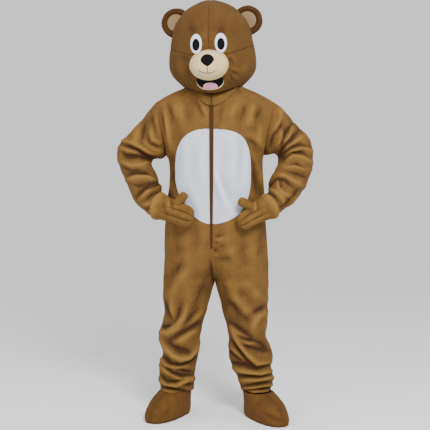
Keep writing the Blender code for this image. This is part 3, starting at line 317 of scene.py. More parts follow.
legCreases = (
    (-2.6, 4.6, ((183, 260), (175, 274), (167, 287))),
    (2.2, 4.2, ((190, 264), (181, 279), (172, 291), (165, 297))),
    (-2.4, 4.4, ((211, 268), (202, 288), (195, 305), (189, 316))),
    (-4.0, 2.4, ((165, 298), (168, 310), (172, 320))),
    (3.6, 2.2, ((171, 297), (172, 309), (174, 318))),
    (-4.0, 2.2, ((181, 304), (178, 316), (174, 324))),
    (4.2, 2.2, ((187, 306), (184, 316), (178, 324), (169, 328))),
    (-3.6, 2.6, ((198, 309), (188, 320), (180, 327))),
    (3.2, 2.4, ((204, 309), (195, 319), (187, 327))),
    (-6.2, 2.0, ((160, 326), (166, 327), (172, 325))),
    (5.8, 2.6, ((160, 332), (168, 333.5), (178, 328), (184, 320))),
    (-6.2, 3.4, ((170, 340), (182, 333), (195, 326), (203, 319))),
    (5.2, 3.2, ((175, 343), (185, 337), (198, 328))),
    (-5.8, 2.6, ((170, 344), (180, 350), (190, 352))),
    (6.5, 2.0, ((160, 339), (166, 348), (173, 356), (181, 359.5), (190, 358), (196, 350), (199, 342))),
    (-7.8, 1.8, ((163, 355), (171, 364), (181, 365), (190, 361.5), (198, 354))),
    (5.0, 1.6, ((159, 356), (166, 365), (176, 367.5), (188, 366))),
    (-7.0, 1.5, ((163, 366), (173, 373.5), (183, 376.4), (193, 374.6))),
    (-5.0, 1.3, ((178, 369.6), (185, 371), (193, 371.8))),
    (5.2, 1.6, ((160, 365), (168, 373), (179, 378.6), (194, 377.4))),
    (-6.0, 1.5, ((161, 374), (166, 381), (175, 382), (183, 379))),
    (5.5, 1.6, ((158, 378), (166, 384.6), (176, 386), (186, 381), (194, 379))),
    (-5.0, 1.5, ((184, 386), (190, 384), (195, 384))),
    (-7.0, 1.4, ((160, 386), (170, 388), (181, 390.5), (188, 391.6))),
    (4.5, 1.5, ((158, 389), (168, 391.6), (178, 393.8), (192, 394.6))),
    (-3.2, 4.4, ((222, 282), (230, 302), (240, 314), (252, 323))),
    (2.6, 4.2, ((228, 284), (236, 299), (246, 310), (255, 317))),
    (-4.4, 2.6, ((267, 305), (258, 310), (251, 314))),
    (4.0, 2.8, ((267, 311), (259, 316), (254, 324), (252, 331))),
    (-1.3, 4.0, ((240, 289), (247, 297), (254, 303))),
    (1.3, 4.0, ((248, 284), (256, 294), (264, 300))),
    (-5.2, 3.0, ((229, 322), (239, 329), (250, 336.5))),
    (3.8, 2.2, ((231, 327), (239, 333.6), (247, 337))),
    (-5.8, 2.2, ((238, 336), (247, 340), (261, 342.5), (267, 350))),
    (4.5, 1.8, ((241, 341), (250, 343.4), (258, 341.4))),
    (-5.0, 2.0, ((240, 344.5), (248, 347), (260, 349.5), (268, 351))),
    (6.5, 2.0, ((231, 326), (238, 343), (248, 356), (257, 364), (271, 362.5))),
    (-6.5, 2.2, ((231, 338), (239, 350), (248, 360.6), (256, 367.6))),
    (4.0, 1.6, ((229, 344), (236, 352), (244, 360))),
    (-4.5, 1.6, ((229, 350), (237, 357.5), (243, 361.6))),
    (-7.8, 1.7, ((230, 362), (243, 365), (257, 368.4), (272, 364.4))),
    (6.2, 1.7, ((232, 368), (245, 372), (261, 374), (272, 371))),
    (-7.8, 1.4, ((236, 374.6), (248, 376), (261, 376.8), (272, 374.4))),
    (6.0, 1.6, ((240, 380), (256, 380.2), (275, 377))),
    (-7.0, 1.4, ((243, 386), (257, 384.6), (273, 381.4))),
    (5.0, 1.3, ((243, 388.6), (257, 387.2), (272, 384.8))),
    (-5.2, 1.2, ((250, 390), (262, 388.6), (272, 387.6))),
    (4.5, 1.4, ((244, 393), (258, 391.6), (274, 391))),
)
armCreases = (
    (-3.6, 2.2, ((146, 121), (143, 131), (142, 144))),
    (2.8, 3.0, ((139, 124), (137, 134), (134, 143))),
    (-3.8, 1.9, ((147, 134), (150, 143.5), (158, 146.6), (164, 145))),
    (3.8, 2.0, ((151, 128), (152, 139), (159, 144), (163, 141))),
    (3.4, 1.8, ((143, 141), (151, 147.6), (162, 151.6))),
    (-3.0, 1.8, ((152, 112), (153, 124), (157, 136))),
    (2.6, 2.0, ((157, 112), (160, 126), (162, 138))),
    (-7.5, 2.0, ((121, 143.6), (129, 146), (137, 149.4), (147, 156), (157, 158))),
    (5.5, 2.0, ((120, 140.5), (130, 143), (139, 146.6), (151, 153.4), (158, 154))),
    (4.4, 1.7, ((119, 147.6), (129, 151), (140, 153))),
    (-4.6, 1.7, ((122, 152), (127, 156), (136, 156.2))),
    (-4.4, 1.6, ((127, 157.6), (139, 157), (149, 160))),
    (4.6, 2.2, ((119, 160), (131, 166), (142, 165), (151, 161))),
    (-3.0, 2.0, ((121, 166), (131, 170.5), (143, 169))),
    (-6.0, 1.7, ((128, 175.4), (137, 172.6), (146, 173.4), (155, 178))),
    (4.6, 2.0, ((127, 180), (138, 177), (149, 177), (157, 181))),
    (-3.2, 2.2, ((129, 184), (139, 186), (148, 182))),
    (-6.2, 1.7, ((136, 198), (143, 189.6), (151, 184), (160, 181))),
    (4.8, 1.6, ((139, 200), (148, 191.6), (156, 187), (163, 185))),
    (-6.0, 1.5, ((150, 190), (155, 186.6), (162, 183))),
    (-4.8, 1.5, ((144, 201), (151, 195), (161, 190.6))),
    (3.8, 1.7, ((141, 204), (150, 204.4), (157, 202))),
    (-4.0, 1.7, ((144, 209.6), (152, 208.4), (157, 206))),
    (3.0, 2.0, ((138, 208), (146, 213), (153, 214))),
    (3.8, 2.2, ((280, 109), (280.6, 119), (275, 129), (267, 137))),
    (-4.6, 2.0, ((283, 117), (280, 127), (273, 134.5), (269, 147))),
    (3.6, 1.8, ((281, 130), (281.6, 139), (277, 146))),
    (-6.0, 1.7, ((293, 122), (285.4, 133), (282, 141), (281, 149))),
    (4.4, 1.7, ((292, 128), (289, 136), (284, 144), (280, 149))),
    (-6.6, 1.8, ((299, 130), (291, 140), (285, 144.6), (281, 152), (279, 158))),
    (4.6, 1.8, ((305, 135), (296, 141), (289, 146), (283, 152))),
    (-5.0, 1.7, ((309, 147), (300, 144.4), (291, 147.6), (284, 153), (282, 158))),
    (4.4, 1.7, ((312, 151), (302, 148.4), (292, 150.6), (286, 156))),
    (-4.8, 1.6, ((310, 157.6), (302, 152.6), (292, 152.8), (284, 159))),
    (4.4, 1.8, ((312, 163), (301, 157), (293, 156), (286, 161))),
    (-4.4, 1.8, ((307, 170), (296, 164), (288, 165.4))),
    (4.0, 1.8, ((311, 170), (303, 169), (294, 166.4), (285, 167.4))),
    (-4.0, 1.8, ((307, 178), (296, 173.6), (285, 170.6))),
    (4.6, 2.0, ((304, 187), (291, 179.6), (282, 175.4), (275, 176))),
    (-6.2, 1.8, ((293, 187), (284.6, 179.6), (277, 178.8), (272, 183), (268, 189))),
    (4.2, 1.8, ((293, 197), (283.5, 194), (278.6, 188), (277, 180))),
    (-3.8, 1.5, ((281.4, 189), (280, 182))),
    (4.4, 1.6, ((268, 189), (275, 192), (281.6, 198.4), (285, 205))),
    (-5.6, 1.5, ((266, 191.4), (273, 195), (280, 202.6))),
    (-4.4, 1.8, ((291, 197), (285, 205), (278, 208.6))),
    (3.6, 2.0, ((298, 193), (292, 202.4), (286, 208))),
    (-3.4, 2.0, ((300, 186), (295, 194), (290, 199))),
)
bellyCreases = (
    (-1.6, 2.6, ((181, 143), (180, 158), (181, 172))),
    (1.6, 2.8, ((186.6, 140), (186.6, 158), (188, 176))),
    (-1.4, 2.8, ((196, 142), (194, 160), (195, 178))),
    (1.4, 3.0, ((203, 138), (202, 160), (203, 184))),
    (-3.4, 2.0, ((212.6, 175), (216, 190), (222, 206))),
    (5.0, 1.8, ((214, 168), (219.4, 185), (225.4, 201), (232.6, 215))),
    (-2.6, 2.4, ((220, 170), (227, 188), (234, 202))),
    (1.8, 2.8, ((232, 134), (233.4, 156), (234.4, 178))),
    (-2.0, 2.8, ((239.4, 137), (240, 157), (238.4, 178))),
    (1.6, 2.6, ((245, 146), (246, 164), (245, 182))),
    (-1.4, 2.8, ((225, 138), (226, 152), (225, 166))),
    (1.2, 3.4, ((190, 186), (196, 200), (203, 212))),
    (-1.4, 3.0, ((186, 190), (191, 203), (198, 214))),
)
backCreases = (
    (-3.0, 3.0, ((197, 112), (199, 130), (204, 148))),
    (3.0, 3.2, ((186, 110), (190, 130), (196, 150))),
    (-3.0, 3.0, ((232, 110), (230, 130), (224, 150))),
    (3.0, 3.2, ((243, 112), (240, 130), (233, 148))),
    (-3.4, 2.6, ((173, 120), (178, 136), (181, 152))),
    (3.2, 2.6, ((167, 116), (171, 134), (175, 152))),
    (-3.4, 2.6, ((258, 118), (254, 134), (250, 152))),
    (3.0, 3.0, ((262, 122), (260, 138), (257, 156))),
    (-4.0, 2.6, ((176, 182), (190, 190), (206, 192))),
    (3.6, 2.6, ((174, 190), (190, 197), (208, 199))),
    (-4.0, 2.6, ((255, 180), (242, 189), (226, 193))),
    (3.6, 2.8, ((258, 188), (243, 196), (224, 200))),
    (-3.4, 2.6, ((180, 206), (194, 209), (208, 208))),
    (-3.0, 3.0, ((252, 206), (238, 209), (222, 209))),
    (-5.0, 1.8, ((214, 232), (214, 256), (213.6, 282))),
    (-4.6, 2.6, ((174, 276), (188, 283), (204, 280))),
    (4.0, 2.8, ((172, 284), (187, 290), (202, 288))),
    (-4.6, 2.6, ((254, 277), (241, 284), (226, 281))),
    (4.0, 2.8, ((256, 285), (242, 291), (228, 289))),
)
headCreases = (
    # broad dimples above the eyes, also painted darker through the fold attribute: painted shade
    (-4.0, 7.0, ((187, 31), (192, 29.5), (198, 29))),
    (-4.0, 7.0, ((215, 29.5), (221, 30), (227, 31))),
    (2.4, 6.0, ((201, 34), (208, 34), (213, 34))),
    (-2.4, 1.6, ((204, 42.5), (208, 44.6), (212, 43.4))),
    (-2.4, 1.5, ((205, 46.6), (209, 48.4), (213, 46.8))),
    (2.0, 1.6, ((204, 44.6), (208, 46.6), (212, 45.4))),
    (-4.5, 1.4, ((229, 57.4), (231, 60), (233, 62.4))),
    (3.3, 1.6, ((231, 56.6), (234, 59), (236, 62))),
    (-4.5, 1.5, ((230.6, 70.6), (234, 72.6), (238, 74))),
    (3.3, 1.8, ((231, 67.6), (235, 69.6), (239, 71))),
    (-3.9, 1.5, ((229, 73), (232, 77.6), (234, 82))),
    (-3.0, 1.6, ((226, 79), (229, 83), (232, 86))),
    (2.7, 1.8, ((231, 73.4), (235, 77), (238, 80))),
    (-3.9, 3.6, ((181, 56), (186, 58), (189, 62))),
    (-2.0, 2.6, ((186, 66), (187.6, 73), (191, 79))),
    (2.4, 4.0, ((178, 62), (180, 70), (184, 77))),
    (2.4, 4.0, ((246, 62), (244, 70), (240, 78))),
    (-1.6, 3.0, ((243, 60), (246, 64))),
)
shoeCreases = (
    (2.6, 2.0, ((165, 393), (163.4, 402), (164, 413))),
    (-3.6, 1.6, ((161, 414), (166, 413), (171.4, 409.6))),
    (-2.4, 2.4, ((156, 399), (157, 407), (160, 414))),
    (-3.0, 1.6, ((149, 412.6), (154, 416), (161, 419))),
    (2.0, 2.6, ((173, 397), (175, 405), (174, 413))),
    (2.8, 2.4, ((250, 407), (256, 399), (262, 395))),
    (-2.2, 2.4, ((252, 412), (258, 404), (266, 399))),
    (2.4, 2.0, ((271, 399), (276, 405), (279, 412))),
    (-5.2, 1.8, ((262, 412.6), (272, 417), (284, 423))),
    (4.0, 1.8, ((263, 416), (270, 421), (277, 427))),
    (2.6, 1.8, ((268, 411), (276, 414), (284, 418))),
)
mittenCreases = (
    (-3.9, 1.1, ((171, 199), (171.8, 204), (172.2, 208))),
    (3.3, 1.3, ((168, 199), (168.6, 204), (169, 208))),
    (-3.9, 1.2, ((163.6, 204), (165, 210), (167.4, 216))),
    (3.0, 1.3, ((174.6, 198.6), (175.6, 203), (176, 206))),
    (-3.9, 1.1, ((250, 200), (251, 206), (252.4, 211))),
    (3.3, 1.2, ((253.6, 199), (254.6, 205), (255.6, 210))),
    (-3.6, 1.1, ((247.6, 208), (249.6, 211), (251.8, 214))),
    (-3.6, 1.2, ((257, 200), (258, 206), (258, 212))),
    (3.0, 1.2, ((246, 204), (248, 208), (249, 211))),
)


def worldPoints(grid):
    return grid - lowered


def toPicture(points):
    # where the camera sees these points, in units of the picture
    place, target = np.array(cameraSettings["place"]), np.array(cameraSettings["target"])
    forward = (target - place) / np.linalg.norm(target - place)
    right = np.array([1.0, 0.0, 0.0])
    up = np.cross(right, forward)
    away = points - place
    scale = pictureSize * cameraSettings["lens"] / cameraSettings["sensor"] / (away @ forward)
    middle = pictureSize / 2
    return np.stack([middle + (away @ right) * scale, middle - (away @ up) * scale], axis=-1)


def creaseField(spots, table):
    # how far out these places move, in metres, from every crease near them
    total = np.zeros(len(spots))
    for depth, halfWidth, path in table:
        path = np.array(path, float)
        steps = np.linalg.norm(np.diff(path, axis=0), axis=1)
        whole, before = steps.sum(), 0.0
        nearest, along = np.full(len(spots), 1e9), np.zeros(len(spots))
        for start, end, step in zip(path, path[1:], steps):
            share = np.clip((spots - start) @ (end - start) / step**2, 0, 1)
            distance = np.linalg.norm(spots - start - share[:, None] * (end - start), axis=1)
            closer = distance < nearest
            nearest = np.where(closer, distance, nearest)
            along = np.where(closer, (before + share * step) / whole, along)
            before += step
        taper = np.sin(math.pi * np.clip(along, *creaseShape["ends"])) ** creaseShape["taper"]
        sharpness = creaseShape["trough" if depth < 0 else "ridge"]
        total += depth / 1000 * taper * np.exp(-((nearest / halfWidth) ** sharpness))
    return total


def warped(spots, normals):
    # behind, the same folds lie a little elsewhere, and meet the front's at the outline
    behind = np.clip(normals[:, 1], 0, 1)
    shift = np.stack([5 * np.sin(spots[:, 1] / 9), 6 * np.sin(spots[:, 0] / 11 + 1)], axis=-1)
    return spots + shift * behind[:, None]


def creased(grid, table, normals=None):
    # a table's creases over a grid, laid a little elsewhere behind where the normals are given
    spots = toPicture(worldPoints(grid).reshape(-1, 3))
    if normals is not None:
        spots = warped(spots, normals.reshape(-1, 3))
    return creaseField(spots, table).reshape(grid.shape[:2])


def seenShare(normals, gain, start=0.0):
    # 1 where the cloth faces the camera, falling to 0 beside it
    return np.clip(-normals[..., 1] * gain + start, 0, 1)


def softNoise(points, size, seed):
    # an even, slow unevenness between about -1 and 1, with features of this size in metres
    draw = np.random.default_rng(seed)
    waves = 14
    total = np.zeros(points.shape[:-1])
    for _ in range(waves):
        direction = draw.normal(size=3)
        direction *= 2 * math.pi / (size * draw.uniform(0.7, 1.6)) / np.linalg.norm(direction)
        total += np.sin(points @ direction + draw.uniform(0, 2 * math.pi))
    return total / math.sqrt(waves)


# Shape helpers


def lookUp(table, height):
    # a table's row at this height, on a smooth curve through its rows
    rows = np.array(table)[::-1]
    heights = rows[:, 0]
    slopes = np.gradient(rows, heights, axis=0)
    index = int(np.clip(np.searchsorted(heights, height) - 1, 0, len(heights) - 2))
    span = heights[index + 1] - heights[index]
    share = np.clip((height - heights[index]) / span, 0.0, 1.0)
    square, cube = share**2, share**3
    return (
        (2 * cube - 3 * square + 1) * rows[index]
        + (cube - 2 * square + share) * span * slopes[index]
        + (3 * square - 2 * cube) * rows[index + 1]
        + (cube - square) * span * slopes[index + 1]
    )


def softStep(share):
    share = np.clip(share, 0.0, 1.0)
    return share * share * (3 - 2 * share)


def oval(share, power):
    return max(0.0, 1.0 - min(abs(share), 1.0) ** power) ** (1.0 / power)


def fullTurn(count):
    return np.linspace(0, 2 * math.pi, count + 1)[:-1]


def unit(vector):
    return vector / np.linalg.norm(vector)


def finer(grid, times, axis, closed=False):
    # smooth points between the given ones, this many for each
    grid = np.moveaxis(np.asarray(grid, float), axis, 0)
    if closed:
        padded = np.concatenate([grid[-1:], grid, grid[:2]])
    else:
        padded = np.concatenate([2 * grid[:1] - grid[1:2], grid, 2 * grid[-1:] - grid[-2:-1]])
    out = []
    for start in range(len(padded) - 3):
        a, b, c, d = padded[start : start + 4]
        for step in range(times):
            t = step / times
            bend = (2 * a - 5 * b + 4 * c - d) * t**2 + (3 * b - 3 * c + d - a) * t**3
            out.append(0.5 * (2 * b + (c - a) * t + bend))
    if not closed:
        out.append(grid[-1])
    return np.moveaxis(np.array(out), 0, axis)


def gridNormals(grid, closed, inside):
    if closed:
        across = np.roll(grid, -1, axis=1) - np.roll(grid, 1, axis=1)
    else:
        across = np.gradient(grid, axis=1)
    normals = np.cross(np.gradient(grid, axis=0), across)
    normals /= np.maximum(np.linalg.norm(normals, axis=-1, keepdims=True), 1e-12)
    away = (normals * (grid - np.array(inside))).sum()
    return -normals if away < 0 else normals


def edgeDistance(grid, axis, last):
    # metres along the cloth from its first or last row or column
    steps = np.linalg.norm(np.diff(grid, axis=axis), axis=-1)
    if last:
        steps = np.flip(steps, axis=axis)
    walked = np.cumsum(steps, axis=axis)
    pad = [(0, 0), (0, 0)]
    pad[axis] = (1, 0)
    walked = np.pad(walked, pad)
    return np.flip(walked, axis=axis) if last else walked


def easedEdge(grid, edges, width):
    # 0 on the named seams, 1 away from them
    share = np.ones(grid.shape[:2])
    for edge in edges:
        axis, last = {"first": (1, False), "last": (1, True), "top": (0, False), "bottom": (0, True)}[edge]
        share *= 1 - np.exp(-((edgeDistance(grid, axis, last) / width) ** 2))
    return share


def meshFrom(name, points, faces, uvs=None):
    mesh = bpy.data.meshes.new(name)
    mesh.from_pydata([tuple(point) for point in points], [], faces)
    if uvs is not None:
        layer = mesh.uv_layers.new(name="cloth")
        corners = np.empty(len(mesh.loops), np.int32)
        mesh.loops.foreach_get("vertex_index", corners)
        layer.data.foreach_set("uv", uvs[corners].astype(np.float32).ravel())
    mesh.shade_smooth()
    made = bpy.data.objects.new(name, mesh)
    bpy.context.scene.collection.objects.link(made)
    return made


def settle(piece, finish, node=None):
    # one finish, the root body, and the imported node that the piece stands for
    piece.data.materials.clear()
    piece.data.materials.append(finishes[finish])
    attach(piece, "root")
    if node:
        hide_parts(node)
    return piece


def clothSheet(name, grid, thickness, inside, closed=False, folds=None):
    # a shell from a grid of its outer points, thickened inwards. Both are above the floor.
    grid = worldPoints(np.asarray(grid, float))
    inside = Vector(worldPoints(np.array(inside)))
    rows, columns = grid.shape[:2]
    index = np.arange(rows * columns).reshape(rows, columns)
    faces = []
    for row in range(rows - 1):
        for column in range(columns if closed else columns - 1):
            after = (column + 1) % columns
            corners = (row, column), (row + 1, column), (row + 1, after), (row, after)
            faces.append([int(index[corner]) for corner in corners])
    across = edgeDistance(grid, 1, False)
    down = edgeDistance(grid, 0, False)
    uvs = np.stack([across, -down], axis=-1).reshape(-1, 2)
    made = meshFrom(name, grid.reshape(-1, 3), faces, uvs)
    # the fold depths are kept on the mesh, and the pile finishes paint shade into troughs and highlight onto
    # ridges from them
    if folds is not None:
        layer = made.data.attributes.new("fold", "FLOAT", "POINT")
        layer.data.foreach_set("value", (folds * 1000).astype(np.float32).ravel())
    work = bmesh.new()
    work.from_mesh(made.data)
    bmesh.ops.remove_doubles(work, verts=work.verts, dist=1e-6)
    bmesh.ops.recalc_face_normals(work, faces=work.faces)
    facing = 0.0
    for face in work.faces:
        facing += face.normal.dot(face.calc_center_median() - inside) * face.calc_area()
    if facing < 0:
        bmesh.ops.reverse_faces(work, faces=work.faces)
    work.to_mesh(made.data)
    work.free()
    made.data.shade_smooth()
    if thickness:
        thick = made.modifiers.new("clothThickness", "SOLIDIFY")
        thick.thickness = thickness
        thick.offset = -1.0
        thick.use_rim = True
    return made


def solvedMesh(piece):
    # the mesh that the piece's modifiers make
    bpy.context.view_layer.update()
    return bpy.data.meshes.new_from_object(piece.evaluated_get(bpy.context.evaluated_depsgraph_get()))


def cutWith(piece, cutter):
    cut = piece.modifiers.new("cut", "BOOLEAN")
    cut.operation = "DIFFERENCE"
    cut.solver = "EXACT"
    cut.object = cutter
    solved = solvedMesh(piece)
    piece.modifiers.clear()
    piece.data = solved
    bpy.data.objects.remove(cutter, do_unlink=True)


def closeEnds(piece):
    work = bmesh.new()
    work.from_mesh(piece.data)
    bmesh.ops.holes_fill(work, edges=[edge for edge in work.edges if edge.is_boundary], sides=0)
    bmesh.ops.recalc_face_normals(work, faces=work.faces)
    work.to_mesh(piece.data)
    work.free()


def surfaceTree(pieces):
    # one tree over the outer faces of these shells, for laying other pieces on them
    points, faces = [], []
    for piece in pieces:
        start = len(points)
        points += [vertex.co.copy() for vertex in piece.data.vertices]
        faces += [[corner + start for corner in face.vertices] for face in piece.data.polygons]
    return BVHTree.FromPolygons(points, faces)


def cast(tree, place, direction):
    # the first point and outward normal of the surface seen from this place
    spot, normal, _, _ = tree.ray_cast(Vector(place), Vector(direction))
    if spot is None:
        return None, None
    if normal.dot(Vector(direction)) > 0:
        normal = -normal
    return np.array(spot), np.array(normal)


# Suit body

suit = {
    "cloth": 0.0025,
    "torsoPower": 2.2,
    "legPower": 2.1,
    "neckHalfWidth": 0.0842,
    "neckHeight": 1.476,
    "neckFrontDrop": 0.086,
    "neckBackDrop": 0.016,
    "neckFrontDepth": 0.078,
    "neckBackDepth": 0.070,
    "shoulderTipX": 0.260,
    "shoulderTipHeight": 1.400,
    "shoulderBow": 1.35,
    "underarmX": 0.214,
    "underarmHeight": 1.165,
    "shoulderRound": 0.105,
    "crotchHeight": 0.600,
    "crotchStartHeight": 0.760,
    "crotchHook": 3.2,
    "frontShift": -0.016,  # the front's middle hangs to the wearer's right
    "shiftHalfWidth": 0.13,
    "shiftDepth": 0.07,
    "shiftHeight": 0.18,
    "seamPuff": 0.0026,  # how far the cloth swells between its seams
    "seamWidth": 0.013,
    "creaseEdge": 0.009,  # creases fade out this near to a panel's seams
    "sleeveEdge": 0.012,  # and this near to a sleeve's ends
    "unevenness": 0.0007,
    "panelUneven": 0.055,  # size of a panel's slow unevenness
    "sleeveUneven": 0.05,
    "creaseDepth": 1.9,
    "middle": (0.0, 0.0, 1.0),
    "rowSteps": 5,
    "columnSteps": 6,
}
# height, middle x, half width, front depth, back depth
torsoRows = (
    (1.480, 0.000, 0.330, 0.100, 0.110),
    (1.400, 0.000, 0.318, 0.118, 0.124),
    (1.300, 0.000, 0.280, 0.136, 0.132),
    (1.220, 0.000, 0.236, 0.145, 0.130),
    (1.165, 0.002, 0.212, 0.149, 0.126),
    (1.100, 0.006, 0.205, 0.152, 0.120),
    (1.040, 0.007, 0.208, 0.155, 0.117),
    (0.960, 0.003, 0.216, 0.157, 0.120),
    (0.880, 0.002, 0.222, 0.154, 0.128),
    (0.800, 0.003, 0.227, 0.147, 0.136),
    (0.700, 0.006, 0.231, 0.138, 0.138),
    (0.600, 0.004, 0.235, 0.130, 0.128),
)
# height, inner x and outer x of the right leg, inner x and outer x of the left leg, middle y, half depth
legRows = (
    (0.600, -0.0002, -0.231, 0.0002, 0.239, 0.002, 0.127),
    (0.570, -0.0110, -0.232, 0.0080, 0.238, 0.003, 0.124),
    (0.520, -0.0250, -0.232, 0.0230, 0.238, 0.004, 0.119),
    (0.460, -0.0400, -0.227, 0.0360, 0.236, 0.004, 0.113),
    (0.410, -0.0550, -0.238, 0.0500, 0.235, 0.003, 0.107),
    (0.375, -0.0630, -0.249, 0.0580, 0.228, 0.000, 0.103),
    (0.345, -0.0680, -0.250, 0.0620, 0.230, -0.001, 0.101),
    (0.315, -0.0710, -0.241, 0.0630, 0.245, 0.000, 0.098),
    (0.285, -0.0720, -0.234, 0.0620, 0.257, 0.002, 0.096),
    (0.258, -0.0770, -0.239, 0.0640, 0.260, 0.004, 0.094),
    (0.231, -0.0840, -0.249, 0.0710, 0.255, 0.006, 0.092),
    (0.201, -0.0890, -0.251, 0.0830, 0.255, 0.008, 0.090),
    (0.171, -0.0920, -0.252, 0.0980, 0.263, 0.010, 0.086),
    (0.141, -0.0940, -0.252, 0.1100, 0.263, 0.011, 0.082),
    (0.112, -0.0950, -0.246, 0.1180, 0.254, 0.011, 0.077),
)
yokeShares = (0.0, 0.02, 0.05, 0.10, 0.16, 0.24, 0.33, 0.43, 0.53, 0.63, 0.72, 0.81, 0.88, 0.94, 1.0)
panelColumns = tuple(np.linspace(0, 1, 17))
lowerHeights = tuple(np.linspace(1.145, 0.620, 26)) + tuple(np.linspace(0.600, 0.112, 26))


def shoulderLine(x, front):
    x = abs(x)
    if x < suit["neckHalfWidth"]:
        drop = suit["neckFrontDrop"] if front else suit["neckBackDrop"]
        return suit["neckHeight"] - drop * (1.0 - (x / suit["neckHalfWidth"]) ** 1.6)
    share = (x - suit["neckHalfWidth"]) / (suit["shoulderTipX"] - suit["neckHalfWidth"])
    fall = suit["neckHeight"] - suit["shoulderTipHeight"]
    return suit["neckHeight"] - fall * share ** suit["shoulderBow"]


def yokeDepth(x, height, front):
    _, _, halfWidth, frontDepth, backDepth = lookUp(torsoRows, height)
    depth = frontDepth if front else backDepth
    full = depth * oval(x / halfWidth, suit["torsoPower"])
    drop = min(max(shoulderLine(x, front) - height, 0.0) / suit["shoulderRound"], 1.0)
    rounded = math.sqrt(1.0 - (1.0 - drop) ** 2)
    neck = suit["neckFrontDepth"] if front else suit["neckBackDepth"]
    start = neck * oval(x / suit["neckHalfWidth"], 2.0)
    return start + (full - start) * rounded


def yokeRow(share, side, front):
    tip, under = suit["shoulderTipX"], suit["underarmX"]
    reach = tip - (tip - under) * share
    row = []
    for column in panelColumns:
        x = reach * math.sin(math.pi / 2 * column)
        top = shoulderLine(x / reach * tip, front)
        height = top - (top - suit["underarmHeight"]) * share
        y = yokeDepth(x / reach * min(reach, lookUp(torsoRows, height)[2]), height, front)
        row.append([side * x, -y if front else y, height])
    return row


def lowerRow(height, side, front):
    crotch, start = suit["crotchHeight"], suit["crotchStartHeight"]
    share = min(max((start - height) / (start - crotch), 0.0), 1.0) ** suit["crotchHook"]
    _, middle, halfWidth, frontDepth, backDepth = lookUp(torsoRows, max(height, crotch))
    depth = frontDepth if front else backDepth
    legRow = lookUp(legRows, min(height, crotch))
    inner, outer = (legRow[3], legRow[4]) if side > 0 else (-legRow[1], -legRow[2])
    row = []
    for column in panelColumns:
        x = math.sin(math.pi / 2 * column)
        torso = np.array([middle * x * side + halfWidth * x, depth * oval(x, suit["torsoPower"])])
        across = -math.cos(math.pi * column)
        legX = (inner + outer) / 2 + (outer - inner) / 2 * across
        leg = np.array([legX, legRow[6] * oval(across, suit["legPower"])])
        x, y = torso + (leg - torso) * share
        shift = legRow[5] * share
        row.append([side * x, shift - y if front else shift + y, height])
    return row


def panelGrid(side, front):
    rows = [yokeRow(share, side, front) for share in yokeShares]
    rows += [lowerRow(height, side, front) for height in lowerHeights]
    grid = np.array(rows)
    off = seamGap / 2
    grid[..., 1] += -off if front else off
    grid[..., 0] = np.where(np.abs(grid[..., 0]) < off, side * off, grid[..., 0])
    return finer(finer(grid, suit["rowSteps"], 0), suit["columnSteps"], 1)


def frontShifted(grid):
    # the middle of the suit's front moved aside, with the seams round it left alone
    across = np.clip(1.0 - (grid[..., 0] / suit["shiftHalfWidth"]) ** 2, 0.0, 1.0) ** 2
    depth = softStep(-grid[..., 1] / suit["shiftDepth"])
    up = softStep((grid[..., 2] - suit["crotchHeight"]) / suit["shiftHeight"])
    moved = grid.copy()
    moved[..., 0] += suit["frontShift"] * across * depth * up
    return moved


def panelMoves(grid, normals, front):
    # how far each place of a panel moves along its normal
    facing = seenShare(normals, 2.5 if front else -2.5)
    own = (chestCreases + waistCreases) if front else backCreases
    return (creased(grid, own) * facing + creased(grid, legCreases, normals)) * suit["creaseDepth"]


def makePanels():
    seams = ("first", "last", "top")
    panels, edges = {}, {}
    for front, place in ((True, "Front"), (False, "Back")):
        for side, label in sides.items():
            grid = frontShifted(panelGrid(side, front)) if front else panelGrid(side, front)
            normals = gridNormals(grid, False, suit["middle"])
            eased = easedEdge(grid, seams, suit["seamWidth"])
            moves = panelMoves(grid, normals, front) * easedEdge(grid, seams, suit["creaseEdge"])
            moves += suit["unevenness"] * softNoise(grid, suit["panelUneven"], 7 + side) * eased
            edges[(side, front)] = grid[: suit["rowSteps"] * (len(yokeShares) - 1) + 1 : 2, -1]
            shown = grid + normals * (moves + suit["seamPuff"] * eased)[..., None]
            piece = clothSheet(f"jumpsuit{place}{label}", shown, suit["cloth"], suit["middle"], folds=moves)
            panels[(side, front)] = settle(piece, "suit", f"{place}_{label}".lower())
    return panels, edges


panels, armholeEdges = makePanels()
frontTree = surfaceTree([panels[(-1, True)], panels[(1, True)]])
print("scene: suit panels made")

# Sleeves

# outer x, outer height, inner x, inner height, middle y, half depth
sleeveRows = {
    -1: (
        (-0.299, 1.350, -0.236, 1.152, 0.002, 0.080),
        (-0.337, 1.303, -0.262, 1.148, 0.006, 0.078),
        (-0.389, 1.252, -0.278, 1.146, 0.012, 0.076),
        (-0.426, 1.213, -0.285, 1.138, 0.018, 0.076),
        (-0.436, 1.163, -0.287, 1.126, 0.018, 0.074),
        (-0.423, 1.112, -0.279, 1.106, 0.008, 0.074),
        (-0.404, 1.070, -0.262, 1.080, -0.008, 0.070),
        (-0.388, 1.036, -0.250, 1.052, -0.026, 0.068),
        (-0.370, 1.000, -0.238, 1.026, -0.046, 0.065),
        (-0.347, 0.958, -0.236, 1.003, -0.066, 0.062),
    ),
    1: (
        (0.308, 1.358, 0.238, 1.168, 0.002, 0.080),
        (0.347, 1.312, 0.256, 1.174, 0.006, 0.078),
        (0.390, 1.271, 0.269, 1.172, 0.012, 0.076),
        (0.422, 1.233, 0.280, 1.160, 0.018, 0.076),
        (0.435, 1.184, 0.284, 1.142, 0.020, 0.074),
        (0.436, 1.134, 0.280, 1.116, 0.012, 0.074),
        (0.427, 1.090, 0.266, 1.090, -0.004, 0.071),
        (0.412, 1.056, 0.248, 1.060, -0.022, 0.070),
        (0.394, 1.024, 0.236, 1.037, -0.044, 0.066),
        (0.356, 0.976, 0.236, 1.012, -0.066, 0.064),
    ),
}
